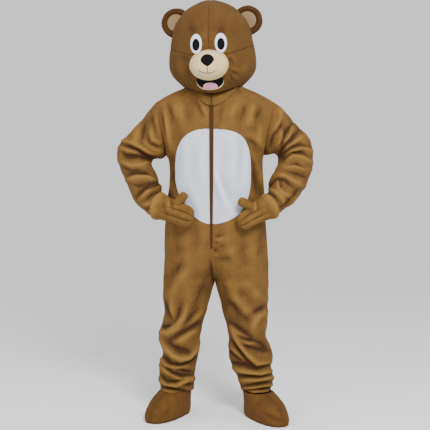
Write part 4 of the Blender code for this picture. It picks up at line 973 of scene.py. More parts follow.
# x, y, height, half width across the hand, half thickness
mittenRows = {
    -1: (
        (-0.249, -0.108, 0.945, 0.056, 0.054),
        (-0.240, -0.114, 0.942, 0.056, 0.052),
        (-0.208, -0.135, 0.932, 0.052, 0.042),
        (-0.178, -0.150, 0.921, 0.048, 0.031),
        (-0.148, -0.163, 0.911, 0.048, 0.026),
        (-0.122, -0.171, 0.901, 0.047, 0.024),
        (-0.104, -0.175, 0.894, 0.038, 0.019),
        (-0.094, -0.176, 0.891, 0.022, 0.011),
    ),
    1: (
        (0.241, -0.108, 0.946, 0.056, 0.054),
        (0.232, -0.114, 0.941, 0.055, 0.052),
        (0.204, -0.135, 0.930, 0.051, 0.042),
        (0.176, -0.150, 0.914, 0.045, 0.031),
        (0.150, -0.162, 0.899, 0.041, 0.026),
        (0.126, -0.170, 0.883, 0.039, 0.024),
        (0.110, -0.174, 0.872, 0.031, 0.019),
        (0.102, -0.175, 0.867, 0.018, 0.011),
    ),
}
sleeve = {
    "armholeBlend": (0.35, 0.75),
    "endSteps": (-0.004, 0.005),
    "slim": 0.0068,  # how much smaller than the mitten's cuff the tucked end is
}


def mittenAxes(table, number):
    middles = np.array(table)[:, :3]
    along = unit(middles[min(number + 1, len(middles) - 1)] - middles[max(number - 1, 0)])
    thick = unit(np.cross(np.array([0.0, 0.0, 1.0]), along))
    thick = thick if thick[1] < 0 else -thick
    wide = unit(np.cross(along, thick))
    return along, wide if wide[2] > 0 else -wide, thick


def sleeveGrid(side):
    table, mitten = sleeveRows[side], mittenRows[side]
    front, back = armholeEdges[(side, True)], armholeEdges[(side, False)]
    ring = np.vstack([(front[:1] + back[:1]) / 2, front[1:-1], (front[-1:] + back[-1:]) / 2, back[-2:0:-1]])
    ring = ring + np.array([side * seamGap, 0.0, 0.0])
    half = (ring[0] - ring[len(front) - 1]) / 2
    middle = (ring[0] + ring[len(front) - 1]) / 2
    across = np.clip((ring - middle) @ half / (half @ half), -1, 1)
    angles = np.arccos(across)
    angles[len(front) :] = 2 * math.pi - angles[len(front) :]
    even = fullTurn(len(ring))
    rows = [ring]
    middles = [middle] + [np.array([(row[0] + row[2]) / 2, row[4], (row[1] + row[3]) / 2]) for row in table]
    for number, row in enumerate(table, 1):
        outward = np.array([row[0] - row[2], 0.0, row[1] - row[3]]) / 2
        ahead = middles[min(number + 1, len(middles) - 1)]
        depth = unit(np.cross(outward, ahead - middles[number - 1]))
        depth = -depth if depth[1] > 0 else depth
        blend = sleeve["armholeBlend"][number - 1] if number <= len(sleeve["armholeBlend"]) else 1.0
        turns = angles + (even - angles) * blend
        ring = np.outer(np.cos(turns), outward) + np.outer(np.sin(turns), depth * row[5])
        rows.append(middles[number] + ring)
    along, wide, thick = mittenAxes(mitten, 0)
    for step in sleeve["endSteps"]:
        end = np.array(mitten[0][:3]) + along * step
        away = np.outer(np.cos(even), unit(outward)) + np.outer(np.sin(even), depth)
        away -= np.outer(away @ along, along)
        away /= np.linalg.norm(away, axis=1, keepdims=True)
        halfWidth, halfThick = mitten[0][3] - sleeve["slim"], mitten[0][4] - sleeve["slim"]
        shares = np.hypot(away @ wide / halfWidth, away @ thick / halfThick)
        rows.append(end + away / shares[:, None])
    return finer(finer(np.array(rows), 9, 0), 2, 1, closed=True)


def makeSleeves():
    ends = ("top", "bottom")
    for side, label in sides.items():
        grid = sleeveGrid(side)
        middles = grid.mean(axis=1, keepdims=True)
        normals = gridNormals(grid, True, suit["middle"])
        flip = np.sign(((grid - middles) * normals).sum(axis=(1, 2)))
        normals *= np.where(flip == 0, 1, flip)[:, None, None]
        eased = easedEdge(grid, ends, suit["sleeveEdge"])
        moves = creased(grid, armCreases, normals) * eased * suit["creaseDepth"]
        moves += suit["unevenness"] * softNoise(grid, suit["sleeveUneven"], 21 + side) * eased
        puff = suit["seamPuff"] * easedEdge(grid, ends, suit["seamWidth"])
        shown = grid + normals * (moves + puff)[..., None]
        inside = middles[len(middles) // 2, 0]
        piece = clothSheet(f"sleeve{label}", shown, suit["cloth"], inside, closed=True, folds=moves)
        settle(piece, "suit", f"sleeve_{label.lower()}")


makeSleeves()
print("scene: sleeves made")

# Collar

collar = {
    # share of the fall, height over the suit
    "steps": ((0.00, 0.0038), (0.02, 0.014), (0.14, 0.020), (0.45, 0.015), (1.00, 0.0055)),
    "sideFall": 0.019,
    "frontFall": 0.030,
    "columns": 48,
    "cloth": 0.002,
    "clearance": 0.0022,
    "wave": 0.0010,
    "frontGap": 0.008,  # half of the gap between its points, in radians
    "frontRise": 0.018,
    "cheekFall": {-1: 0.010, 1: 0.018},  # how much longer it is half way to the sides
}


def suitTop(x, y):
    # the height of the shoulders over this place
    front = y < 0
    low, high = suit["underarmHeight"], shoulderLine(x, front)
    if abs(x) > suit["shoulderTipX"] or yokeDepth(abs(x), low, front) < abs(y):
        return low
    for _ in range(24):
        middle = (low + high) / 2
        if yokeDepth(abs(x), middle, front) > abs(y):
            low = middle
        else:
            high = middle
    return high


def suitRun(start, away, lengths):
    # places and outward normals at these lengths from the neck's edge, down over the shoulders
    reach, count, ahead = 0.05, 26, 0.004
    outs = np.linspace(0.0, reach, count)
    run = np.array([[start[0] + away[0] * out, start[1] + away[1] * out, 0.0] for out in outs])
    run[:, 2] = [start[2]] + [suitTop(x, y) for x, y, _ in run[1:]]
    walked = np.concatenate([[0.0], np.cumsum(np.linalg.norm(np.diff(run, axis=0), axis=1))])

    def at(length):
        return np.array([np.interp(length, walked, run[:, axis]) for axis in range(3)])

    found = []
    for length in lengths:
        spot = at(length)
        out = unit(np.cross(np.array([-away[1], away[0], 0.0]), unit(at(length + ahead) - spot)))
        found.append((spot, out if out[2] > 0 else -out))
    return found


def makeCollar():
    columns = []
    gap = collar["frontGap"]
    for turn in np.linspace(-0.5 * math.pi + gap, 1.5 * math.pi - gap, collar["columns"] + 1):
        toFront = max(-math.sin(turn), 0.0)
        front = math.sin(turn) < 0
        depth = suit["neckFrontDepth"] if front else suit["neckBackDepth"]
        x, y = suit["neckHalfWidth"] * math.cos(turn), depth * math.sin(turn)
        start = np.array([x, y, shoulderLine(x, front)])
        away = unit(np.array([math.cos(turn), math.sin(turn), 0.0]))
        fall = collar["sideFall"] + (collar["frontFall"] - collar["sideFall"]) * toFront
        fall += collar["cheekFall"][1 if x > 0 else -1] * (abs(math.sin(2 * turn)) if front else 0.0)
        lift = collar["wave"] * (math.sin(7 * turn) + math.sin(11 * turn + 1))
        higher = np.array([0.0, 0.0, collar["frontRise"] * toFront**1.5])
        column = []
        run = suitRun(start, away, [share * fall for share, _ in collar["steps"]])
        for (spot, out), (share, rise) in zip(run, collar["steps"]):
            outward = out * (rise + collar["clearance"] + lift * share)
            column.append(spot + outward + higher * min(rise / 0.02, 1.0) * (1 - share) ** 0.5)
        columns.append(column)
    grid = frontShifted(finer(finer(np.array(columns).transpose(1, 0, 2), 4, 0), 2, 1))
    piece = clothSheet("turnedCollar", grid, collar["cloth"], (0.0, 0.0, 1.30))
    settle(piece, "suit", "collar")


makeCollar()
print("scene: collar made")

# Stitches and zip teeth, by one Geometry Nodes tree


def beadTree():
    # rounded beads of a given size, set along each edge path at an even pitch
    tree = bpy.data.node_groups.new("beadsAlongPaths", "GeometryNodeTree")
    tree.interface.new_socket("Paths", in_out="INPUT", socket_type="NodeSocketGeometry")
    for name in ("Pitch", "Bead length", "Bead width"):
        tree.interface.new_socket(name, in_out="INPUT", socket_type="NodeSocketFloat")
    tree.interface.new_socket("Finish", in_out="INPUT", socket_type="NodeSocketMaterial")
    tree.interface.new_socket("Beads", in_out="OUTPUT", socket_type="NodeSocketGeometry")
    given = addNode(tree, "NodeGroupInput")
    curve = addNode(tree, "GeometryNodeMeshToCurve", [("Mesh", given, "Paths")])
    spots = addNode(
        tree,
        "GeometryNodeCurveToPoints",
        [("Curve", curve, "Curve"), ("Length", given, "Pitch")],
        mode="LENGTH",
    )
    turned = addNode(tree, "FunctionNodeAlignRotationToVector", [("Vector", spots, "Tangent")], axis="X")
    size = addNode(
        tree,
        "ShaderNodeCombineXYZ",
        [("X", given, "Bead length"), ("Y", given, "Bead width"), ("Z", given, "Bead width")],
    )
    bead = addNode(tree, "GeometryNodeMeshIcoSphere", Radius=0.5, Subdivisions=1)
    soft = addNode(tree, "GeometryNodeSetShadeSmooth", [("Geometry", bead, "Mesh")])
    strung = addNode(
        tree,
        "GeometryNodeInstanceOnPoints",
        [
            ("Points", spots, "Points"),
            ("Instance", soft, "Geometry"),
            ("Rotation", turned, "Rotation"),
            ("Scale", size, "Vector"),
        ],
    )
    real = addNode(tree, "GeometryNodeRealizeInstances", [("Geometry", strung, "Instances")])
    painted = addNode(
        tree,
        "GeometryNodeSetMaterial",
        [("Geometry", real, "Geometry"), ("Material", given, "Finish")],
    )
    addNode(tree, "NodeGroupOutput", [("Beads", painted, "Geometry")])
    return tree


beadsAlongPaths = beadTree()


def beads(name, paths, size, finish):
    # one mesh of beads along these paths of points above the floor
    points, edges = [], []
    for path in paths:
        start = len(points)
        points += [tuple(point) for point in worldPoints(np.array(path))]
        edges += [(number, number + 1) for number in range(start, len(points) - 1)]
    mesh = bpy.data.meshes.new(f"{name}Paths")
    mesh.from_pydata(points, edges, [])
    guide = bpy.data.objects.new(f"{name}Paths", mesh)
    bpy.context.scene.collection.objects.link(guide)
    grown = guide.modifiers.new("beads", "NODES")
    grown.node_group = beadsAlongPaths
    values = dict(zip(("Pitch", "Bead length", "Bead width", "Finish"), (*size, finishes[finish])))
    for socket in beadsAlongPaths.interface.items_tree:
        if socket.name in values:
            grown[socket.identifier] = values[socket.name]
    solved = solvedMesh(guide)
    bpy.data.objects.remove(guide, do_unlink=True)
    made = bpy.data.objects.new(name, solved)
    bpy.context.scene.collection.objects.link(made)
    settle(made, finish)


# Zip and belly patch

zipSettings = {
    "halfWidths": ((0.76, 0.0048), (0.87, 0.0062), (1.05, 0.0082), (1.28, 0.0095)),  # at these heights
    "groove": 0.0008,
    "topHeight": 1.380,
    "bottomHeight": 0.761,
    "lift": 0.0020,
    "tape": 0.0012,
    "coilX": 0.0009,
    "coilLift": 0.0022,
    "rows": 160,
    "columns": 6,
    "endInset": 0.001,
    "pathPoints": 300,
    # pitch, length and width of a bead
    "tooth": (0.0018, 0.0015, 0.0022),
    "stitchInset": 0.0016,
    "stitch": (0.0036, 0.0026, 0.0006),
}
belly = {
    "middleHeight": 1.072,
    "halfHeight": 0.203,
    "halfWidths": {-1: 0.172, 1: 0.154},
    "powers": {-1: (3.2, 1.8), 1: (3.2, 2.25)},  # above and below its middle
    "rows": 76,
    "columns": 44,
    "lift": 0.0036,
    "edgeLift": 0.0022,
    "edgeWidth": 0.008,
    "deepest": -0.001,
    "zipClearance": 0.0004,
    "cloth": 0.0016,
    "stitchInset": 0.004,
    "stitchEnd": 0.09,  # radians from the zip
    "stitchLift": 0.0001,
    "stitch": (0.0036, 0.0026, 0.0007),
}


def onFront(x, height, lift, tree=None):
    # a point on the suit's front, cast from before it
    place = (x, -1.0, height - originHeight)
    spot, normal = cast(tree or frontTree, place, (0.0, 1.0, 0.0))
    return None if spot is None else spot + normal * lift + lowered


def zipMiddle(height):
    # where the middle seam has hung to at this height
    return suit["frontShift"] * float(softStep((height - suit["crotchHeight"]) / suit["shiftHeight"]))


def zipHalfWidth(height):
    return float(np.interp(height, *zip(*zipSettings["halfWidths"])))


def shiftedX(x, height):
    across = max(1.0 - (x / suit["shiftHalfWidth"]) ** 2, 0.0) ** 2
    return x + zipMiddle(height) * across


def makeZip():
    heights = np.linspace(zipSettings["topHeight"], zipSettings["bottomHeight"], zipSettings["rows"])
    for side, label in sides.items():
        grid = []
        for height in heights:
            places = np.linspace(zipSettings["groove"], zipHalfWidth(height), zipSettings["columns"])
            grid.append([onFront(zipMiddle(height) + side * x, height, zipSettings["lift"]) for x in places])
        piece = clothSheet(f"zipTape{label}", grid, zipSettings["tape"], suit["middle"])
        settle(piece, "zip", f"zip_tape_{label.lower()}")


def bellyPower(side, up):
    return belly["powers"][side][0 if up > 0 else 1]


def bellyGrid(side):
    halfWidth = belly["halfWidths"][side]
    grid = []
    for row in range(belly["rows"] + 1):
        up = math.cos(math.pi * row / belly["rows"])
        power = bellyPower(side, up)
        seam = zipHalfWidth(belly["middleHeight"] + belly["halfHeight"] * up)
        inner = seam + belly["zipClearance"]
        reach = oval(inner / halfWidth, power) * up
        height = belly["middleHeight"] + belly["halfHeight"] * reach
        edge = max(halfWidth * oval(reach, power), inner + 1e-4)
        line = []
        for column in range(belly["columns"] + 1):
            share = math.sin(math.pi / 2 * column / belly["columns"])
            x = side * (inner + (edge - inner) * share)
            line.append(onFront(shiftedX(x, height), height, 0.0))
        grid.append(line)
    return np.array(grid)


def makeBelly():
    made = []
    for side, label in sides.items():
        grid = bellyGrid(side)
        normals = gridNormals(grid, False, suit["middle"])
        normals[[0, -1]] = normals[[1, -2]]
        folds = creased(grid, bellyCreases)
        eased = easedEdge(grid, ("first", "last", "top", "bottom"), belly["edgeWidth"])
        moves = belly["edgeLift"] + (belly["lift"] - belly["edgeLift"]) * eased
        moves += np.maximum(folds, belly["deepest"]) * eased
        shown = grid + normals * moves[..., None]
        piece = clothSheet(f"bellyPatch{label}", shown, belly["cloth"], suit["middle"], folds=folds)
        made.append(settle(piece, "belly", f"belly_{label.lower()}"))
    return made


def makeZipDetail():
    # closed coil teeth in the groove, and a row of stitches down each tape
    inset = zipSettings["endInset"]
    heights = np.linspace(
        zipSettings["topHeight"] - inset, zipSettings["bottomHeight"] + inset, zipSettings["pathPoints"]
    )
    coil, rows = [], []
    for side in sides:
        middles = [(zipMiddle(height), height) for height in heights]
        aside = zipSettings["coilX"]
        coil.append([onFront(x + side * aside, height, zipSettings["coilLift"]) for x, height in middles])
        row = []
        for x, height in middles:
            aside = zipHalfWidth(height) - zipSettings["stitchInset"]
            row.append(onFront(x + side * aside, height, zipSettings["lift"]))
        rows.append(row)
    beads("zipTeeth", coil, zipSettings["tooth"], "teeth")
    beads("zipStitches", rows, zipSettings["stitch"], "brownThread")


def makeBellyStitches(pieces):
    # the patch is topstitched close to its edge
    tree = surfaceTree(pieces)
    last = math.pi / 2 - belly["stitchEnd"]
    paths = []
    for side in sides:
        path = []
        for turn in np.linspace(last, -last, 220):
            across, up = abs(math.cos(turn)), math.sin(turn)
            power = bellyPower(side, up)
            size = (across**power + abs(up) ** power) ** (-1 / power)
            x = side * (belly["halfWidths"][side] - belly["stitchInset"]) * across * size
            height = belly["middleHeight"] + (belly["halfHeight"] - belly["stitchInset"]) * up * size
            spot = onFront(shiftedX(x, height), height, belly["stitchLift"], tree)
            if spot is not None:
                path.append(spot)
        paths.append(path)
    beads("bellyStitches", paths, belly["stitch"], "whiteThread")


makeZip()
bellyPieces = makeBelly()
makeZipDetail()
makeBellyStitches(bellyPieces)
print("scene: zip and belly patch made")

# Mittens

mitten = {
    "cloth": 0.004,
    "around": 96,
    "valley": 0.62,
    "fingerStart": 1.8,  # rows from the cuff
    "fingerRows": 1.6,
    "tipReach": 0.004,
    "middleRow": 4,
    "cuffFlare": 0.006,
    "flareLength": 0.020,
    "flareEase": 0.006,
    "unevenness": 0.0006,
    "unevenSize": 0.04,
    "creaseEdge": 0.010,
    "thumbSink": -0.001,
    "thumbAround": 32,
}
# base and tip of each thumb, with its radius
thumbs = {
    -1: ((-0.176, -0.160, 0.944), (-0.134, -0.176, 0.990), 0.0185),
    1: ((0.168, -0.160, 0.938), (0.116, -0.182, 0.965), 0.0195),
}
thumbProfile = ((0.00, 0.00), (0.12, 0.80), (0.45, 1.00), (0.75, 1.04), (0.92, 0.80), (1.00, 0.00))


def mittenGrid(side, grow=0.0):
    coarse = np.array(mittenRows[side])
    rows = finer(coarse, 6, 0)
    number = np.linspace(0, len(coarse) - 1, len(rows))
    axes = finer(np.array([mittenAxes(mittenRows[side], step)[1:] for step in range(len(coarse))]), 6, 0)
    turns = fullTurn(mitten["around"])
    rings = []
    for row, place, (wide, thick) in zip(rows, number, axes):
        fingers = np.clip((place - mitten["fingerStart"]) / mitten["fingerRows"], 0, 1)
        across, out = np.cos(turns), np.sin(turns)
        lobes = np.abs(np.cos(1.5 * math.pi * across)) ** 0.5
        valley = 1.0 - mitten["valley"] * fingers * (1.0 - lobes) * np.abs(out)
        ring = row[:3] + np.outer(across * (row[3] + grow), unit(wide))
        rings.append(ring + np.outer(out * (row[4] * valley + grow), unit(thick)))
    tip = coarse[-1, :3] + unit(coarse[-1, :3] - coarse[-2, :3]) * (mitten["tipReach"] + grow)
    for share in (0.75, 0.4):
        rings.append(tip + (rings[len(rows) - 1] - tip) * share)
    rings.append(np.repeat(tip[None], len(turns), axis=0))
    return np.array(rings)


def thumbGrid(base, tip, radius):
    base, tip = np.array(base), np.array(tip)
    along = unit(tip - base)
    first = unit(np.cross(along, np.array([0.0, 1.0, 0.0])))
    second = np.cross(along, first)
    length = np.linalg.norm(tip - base) + radius
    turns = fullTurn(mitten["thumbAround"])
    around = np.outer(np.cos(turns), first) + np.outer(np.sin(turns), second)
    rings = []
    for far, size in finer(np.array(thumbProfile), 6, 0):
        rings.append(base + along * length * far + around * radius * max(size, 0.0))
    return np.array(rings)


def makeMittens():
    for side, label in sides.items():
        grid = mittenGrid(side)
        inside = np.array(mittenRows[side])[mitten["middleRow"], :3]
        normals = gridNormals(grid, True, inside)
        normals[-1] = unit(normals[-2].mean(axis=0))
        moves = creased(grid, mittenCreases) * seenShare(normals, 2)
        moves += mitten["unevenness"] * softNoise(grid, mitten["unevenSize"], 31 + side)
        moves *= easedEdge(grid, ("bottom",), mitten["creaseEdge"])
        # the cuff's rolled rim; it is kept with the folds, so it is also painted lighter, a painted
        # highlight
        fromCuff = edgeDistance(grid, 0, False)
        flare = np.exp(-((fromCuff / mitten["flareLength"]) ** 2))
        moves += mitten["cuffFlare"] * flare * np.clip(0.4 + fromCuff / mitten["flareEase"], 0, 1)
        shown = grid + normals * moves[..., None]
        piece = clothSheet(f"mitten{label}", shown, mitten["cloth"], inside, closed=True, folds=moves)
        settle(piece, "mitten", f"mitten_{label.lower()}")
        thumb = clothSheet(f"thumb{label}", thumbGrid(*thumbs[side]), 0.0, thumbs[side][1], closed=True)
        form = mittenGrid(side, mitten["thumbSink"])
        cutter = clothSheet(f"mittenForm{label}", form, 0.0, inside, closed=True)
        closeEnds(cutter)
        cutWith(thumb, cutter)
        settle(thumb, "mitten", f"thumb_{label.lower()}")


makeMittens()
print("scene: mittens made")

# Shoe covers

shoe = {
    # x and y of the ankle, degrees turned out
    "place": {-1: (-0.1700, 0.014, -31.0), 1: (0.1885, -0.032, 29.0)},
    "topHeight": 0.1113,
    "topHalfWidth": 0.064,
    "topHalfLength": 0.068,
    "heel": 0.076,
    "toe": 0.219,
    "heelHalfWidth": 0.041,
    "ballHalfWidth": 0.076,
    "power": 2.4,
    "instepDip": 0.16,
    "sole": 0.004,
    "cloth": 0.0025,
    "columns": 60,
    "rows": 40,
    "inside": (0.01, -0.06, 0.03),
    "seamPuff": 0.0022,
    "seamWidth": 0.010,
    "creaseEdge": 0.007,
    "unevenness": 0.0006,
    "unevenSize": 0.05,
}


def shoeOutline(turn):
    along, across = math.cos(turn), math.sin(turn)
    length = shoe["toe"] if along > 0 else shoe["heel"]
    swell = softStep((1.0 + along) / 2)
    width = shoe["heelHalfWidth"] + (shoe["ballHalfWidth"] - shoe["heelHalfWidth"]) * swell
    size = (abs(along) ** shoe["power"] + abs(across) ** shoe["power"]) ** (-1 / shoe["power"])
    return along * size * length, across * size * width


def shoeGrid(half, place):
    rows = []
    for row in range(shoe["rows"] + 1):
        share = row / shoe["rows"]
        spread = math.sin(math.pi / 2 * share)
        fall = math.cos(math.pi / 2 * share) ** 0.9
        line = []
        for column in range(shoe["columns"] + 1):
            turn = math.pi * column / shoe["columns"]
            along, across = shoeOutline(turn)
            topAlong = math.cos(turn) * shoe["topHalfLength"]
            topAcross = math.sin(turn) * shoe["topHalfWidth"]
            toe = max(math.cos(turn), 0.0)
            dip = 1.0 - shoe["instepDip"] * toe * math.sin(math.pi * share) * (1 - share)
            height = shoe["sole"] + seamGap + (shoe["topHeight"] - shoe["sole"]) * fall * dip
            x = half * (topAcross + (across - topAcross) * spread + seamGap / 2)
            spot = place @ Vector((x, -(topAlong + (along - topAlong) * spread), height))
            line.append(tuple(spot))
        rows.append(line)
    return np.array(rows)


def makeShoes():
    for side, label in sides.items():
        ankleX, ankleY, turn = shoe["place"][side]
        place = Matrix.Translation((ankleX, ankleY, 0.0)) @ Matrix.Rotation(math.radians(turn), 4, "Z")
        aside, ahead, up = shoe["inside"]
        for half in sides:
            part = "Outer" if half == side else "Inner"
            inside = tuple(place @ Vector((half * aside, ahead, up)))
            grid = shoeGrid(half, place)
            normals = gridNormals(grid, False, inside)
            moves = creased(grid, shoeCreases) * seenShare(normals, 2, 0.6)
            moves += shoe["seamPuff"] * easedEdge(grid, ("first", "last"), shoe["seamWidth"])
            moves += shoe["unevenness"] * softNoise(grid, shoe["unevenSize"], 41 + half)
            moves *= easedEdge(grid, ("first", "last", "bottom", "top"), shoe["creaseEdge"])
            shown = grid + normals * moves[..., None]
            piece = clothSheet(f"shoeCover{label}{part}", shown, shoe["cloth"], inside, folds=moves)
            settle(piece, "shoe", f"shoe_{label}_{part}".lower())
        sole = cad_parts[f"shoe_{label.lower()}_sole"].data
        sole.materials.clear()
        sole.materials.append(finishes["shoe"])


makeShoes()
print("scene: shoe covers made")

# Head

# height, half width, front depth, back depth
headRows = (
    (1.8450, 0.000, 0.000, 0.000),
    (1.8400, 0.033, 0.034, 0.038),
    (1.8220, 0.076, 0.078, 0.083),
    (1.7950, 0.117, 0.121, 0.127),
    (1.7600, 0.146, 0.150, 0.158),
    (1.7180, 0.167, 0.173, 0.180),
    (1.6720, 0.177, 0.186, 0.189),
    (1.6250, 0.186, 0.191, 0.190),
    (1.5800, 0.191, 0.191, 0.184),
    (1.5400, 0.187, 0.186, 0.172),
    (1.5080, 0.168, 0.174, 0.154),
    (1.4820, 0.143, 0.160, 0.136),
    (1.4600, 0.120, 0.146, 0.120),
    (1.4280, 0.090, 0.118, 0.095),
)
head = {
    "place": (-0.010, 0.000, 1.58),
    "turn": -5.0,
    "lean": -1.5,
    "wall": 0.006,
    "power": 2.15,
    "domeHeight": 1.760,
    "cheekHeight": 1.578,
    "cheekRise": 0.060,
    "chinDrop": 0.036,
    "napeRise": 0.006,
    "seatStart": 1.468,
    "seatGap": 0.0023,
    "seamPuff": 0.0018,
    "seamWidth": 0.008,
    "unevenness": 0.0009,
    "unevenSize": 0.07,
    "unevenEdge": 0.012,
    "middle": (0.0, 0.0, 1.60),
    "earClearance": 0.0012,
}
face = {
    "muzzleCloth": 0.004,
    "muzzleMiddleY": -0.18,
    "muzzleFoot": 0.97,  # the foot's share of the full size, sunk into the face
    "muzzleSink": -0.001,
    "muzzleLowest": 1.478,
    "muzzleBlend": 0.30,  # the shares of its reach over which it leaves the face, outwards and sideways
    "muzzleSpread": 0.12,
    "muzzleUneven": (0.0007, 0.05, 0.01),  # depth, size, distance from its edges
    "muzzleHeight": 1.545,
    "muzzleHalfWidth": 0.083,
    "muzzleHalfHeight": 0.064,
    "muzzleY": -0.165,
    "muzzleReach": 0.100,
    "muzzleSag": 0.006,
    "eyeX": 0.052,
    "eyeHeight": 1.634,
    "eyeSize": (0.025, 0.042),
    "pupilSize": (0.0155, 0.0250),
    "pupilDrop": 0.004,
    "ovalEdge": (0.0008, 0.004),  # how far the felt's edge turns down, over this width
    "noseHeight": 1.556,
    "noseY": -0.252,
    "noseSize": (0.028, 0.026),
    "noseReach": 0.022,
    "noseNarrowing": 0.38,
    "mouthTop": 1.492,
    "mouthBottom": 1.449,
    "mouthHalfWidth": 0.058,
    "mouthPower": 2.4,
    "tongueHalfWidth": 0.032,
    "tongueHeight": 0.020,
    "tongueBase": 0.006,
    "trimWidth": 0.006,
    "stitchLift": 0.0004,
    "philtrum": 0.026,
    "smileHalfWidth": 0.036,
    "smileRise": 0.012,
    "embroidery": (0.0026, 0.0042, 0.0030),
}
# share of the reach, share of the full size
muzzleProfile = (
    (0.00, 0.97),
    (0.25, 1.00),
    (0.50, 0.93),
    (0.72, 0.78),
    (0.88, 0.56),
    (0.97, 0.30),
    (1.00, 0.00),
)
noseProfile = ((-0.50, 0.88), (0.25, 1.00), (0.62, 0.90), (0.88, 0.62), (1.00, 0.00))
ears = {
    "x": 0.158,
    "y": 0.004,
    "height": 1.752,
    "unevenness": 0.0008,
    "unevenSize": 0.04,
    "liningRadius": 0.038,
    "liningCloth": 0.0026,
    "liningLift": 0.0034,
    "liningTuck": 0.0012,
    "liningMiddleY": 0.1,
    # from the middle of the front round the rim to the middle of the back: radius, y
    "profile": (
        (0.000, -0.010),
        (0.036, -0.012),
        (0.050, -0.020),
        (0.061, -0.016),
        (0.066, -0.002),
        (0.060, 0.012),
        (0.040, 0.018),
        (0.000, 0.020),
    ),
}


def headMatrix():
    turned = Matrix.Rotation(math.radians(head["turn"]), 4, "Z")
    leaning = Matrix.Rotation(math.radians(head["lean"]), 4, "Y")
    toPivot = Matrix.Translation((0.0, 0.0, -head["place"][2]))
    return Matrix.Translation(head["place"]) @ turned @ leaning @ toPivot


headPlace = headMatrix()
headTurn = np.array(headPlace.to_3x3())
headShift = np.array(headPlace.translation)
headFront = headTurn @ np.array([0.0, -1.0, 0.0])
headUp = headTurn @ np.array([0.0, 0.0, 1.0])


def placed(points):
    # points of the head's own upright frame, turned and leaned as it is worn
    return np.asarray(points) @ headTurn.T + headShift


def headRow(height):
    # the crown is a dome, so up there the squares of its sizes go evenly from row to row
    if height <= head["domeHeight"]:
        return lookUp(headRows, height)
    rows = np.array(headRows)[::-1]
    squares = [np.interp(height, rows[:, 0], rows[:, axis] ** 2) for axis in (1, 2, 3)]
    return np.array([height] + [math.sqrt(max(square, 0.0)) for square in squares])


def headPoint(turn, height):
    _, halfWidth, front, back = headRow(height)
    depth = front if math.cos(turn) > 0 else back
    power = head["power"]
    size = (abs(math.sin(turn)) ** power + abs(math.cos(turn)) ** power) ** (-1 / power)
    return np.array([halfWidth * math.sin(turn) * size, -depth * math.cos(turn) * size, height])


def rimShape(turn):
    # how far the rim rises at the nape and falls under the chin
    toChin, toNape = max(math.cos(turn), 0.0), max(-math.cos(turn), 0.0)
    return head["napeRise"] * toNape**2 - head["chinDrop"] * toChin**2


def seatHeight():
    # the lowest rim that clears the shoulders all round
    highest = 0.0
    for turn in fullTurn(120):
        spot = placed(headPoint(turn, head["seatStart"] + rimShape(turn)))
        highest = max(highest, suitTop(spot[0], spot[1]) - spot[2] + head["seatStart"])
    return highest + head["seatGap"]


rimHeight = seatHeight()


def crownEdge(turn):
    return headRows[0][0]


def cheekEdge(turn):
    return head["cheekHeight"] + head["cheekRise"] * math.sin(turn) ** 2


def rimEdge(turn):
    return rimHeight + rimShape(turn)


def headGrid(first, last, columns, rows, top, bottom):
    grid = []
    for row in range(rows + 1):
        share = row / rows
        line = []
        for turn in np.linspace(first, last, columns + 1):
            high, low = top(turn), bottom(turn)
            drop = 1.0 - math.cos(math.pi / 2 * share) if top is crownEdge else share
            line.append(headPoint(turn, high - (high - low) * drop))
        grid.append(line)
    return finer(finer(np.array(grid), 2, 0), 2, 1)


def makeHead():
    top, bottom = ("first", "last", "bottom"), ("first", "last", "top")
    # name, node, first and last quarter turn, columns, rows, top, bottom, shift in seam gaps, seams
    pieces = (
        ("BrowRight", "brow_right", -1, 0, 24, 28, crownEdge, cheekEdge, (-0.5, -0.5, 1), top),
        ("BrowLeft", "brow_left", 0, 1, 24, 28, crownEdge, cheekEdge, (0.5, -0.5, 1), top),
        ("Jaw", "jaw", -1, 1, 48, 18, cheekEdge, rimEdge, (0, -0.5, -1), bottom),
        ("BackLeft", "back_left", 1, 2, 24, 40, crownEdge, rimEdge, (0.5, 0.5, 0), ("first", "last")),
        ("BackRight", "back_right", 2, 3, 24, 40, crownEdge, rimEdge, (-0.5, 0.5, 0), ("first", "last")),
    )
    middle = placed(head["middle"])
    made = {}
    for name, node, first, last, columns, rows, high, low, shift, seams in pieces:
        upright = headGrid(first * math.pi / 2, last * math.pi / 2, columns, rows, high, low)
        grid = placed(upright + np.array(shift) * seamGap)
        normals = gridNormals(grid, False, middle)
        if high is crownEdge:
            normals[0] = headUp
        eased = easedEdge(grid, seams, head["seamWidth"])
        folds = creased(grid, headCreases) * seenShare(normals, 2.5) * eased
        uneven = softNoise(grid, head["unevenSize"], 51) * easedEdge(grid, seams, head["unevenEdge"])
        moves = folds + head["seamPuff"] * eased + head["unevenness"] * uneven
        shown = grid + normals * moves[..., None]
        piece = clothSheet(f"head{name}", shown, head["wall"], middle, folds=folds)
        made[name] = settle(piece, "head", f"head_{node}")
    return made


headPieces = makeHead()
faceTree = surfaceTree([headPieces[name] for name in ("BrowRight", "BrowLeft", "Jaw")])
print("scene: head made")


def onFace(x, height, lift, tree=None):
    # a point on the face in the head's own frame, cast from the front, beside a seam if it falls in one
    for aside, up in ((0, 0), (0, 0.0012), (0, -0.0012), (0.0012, 0), (-0.0012, 0), (0, 0.004)):
        place = worldPoints(placed((x + aside, -0.6, height + up)))
        spot, normal = cast(tree or faceTree, place, -headFront)
        if spot is not None:
            return spot + normal * lift + lowered
    raise ValueError(f"the face has no surface at {x:.4f}, {height:.4f}")


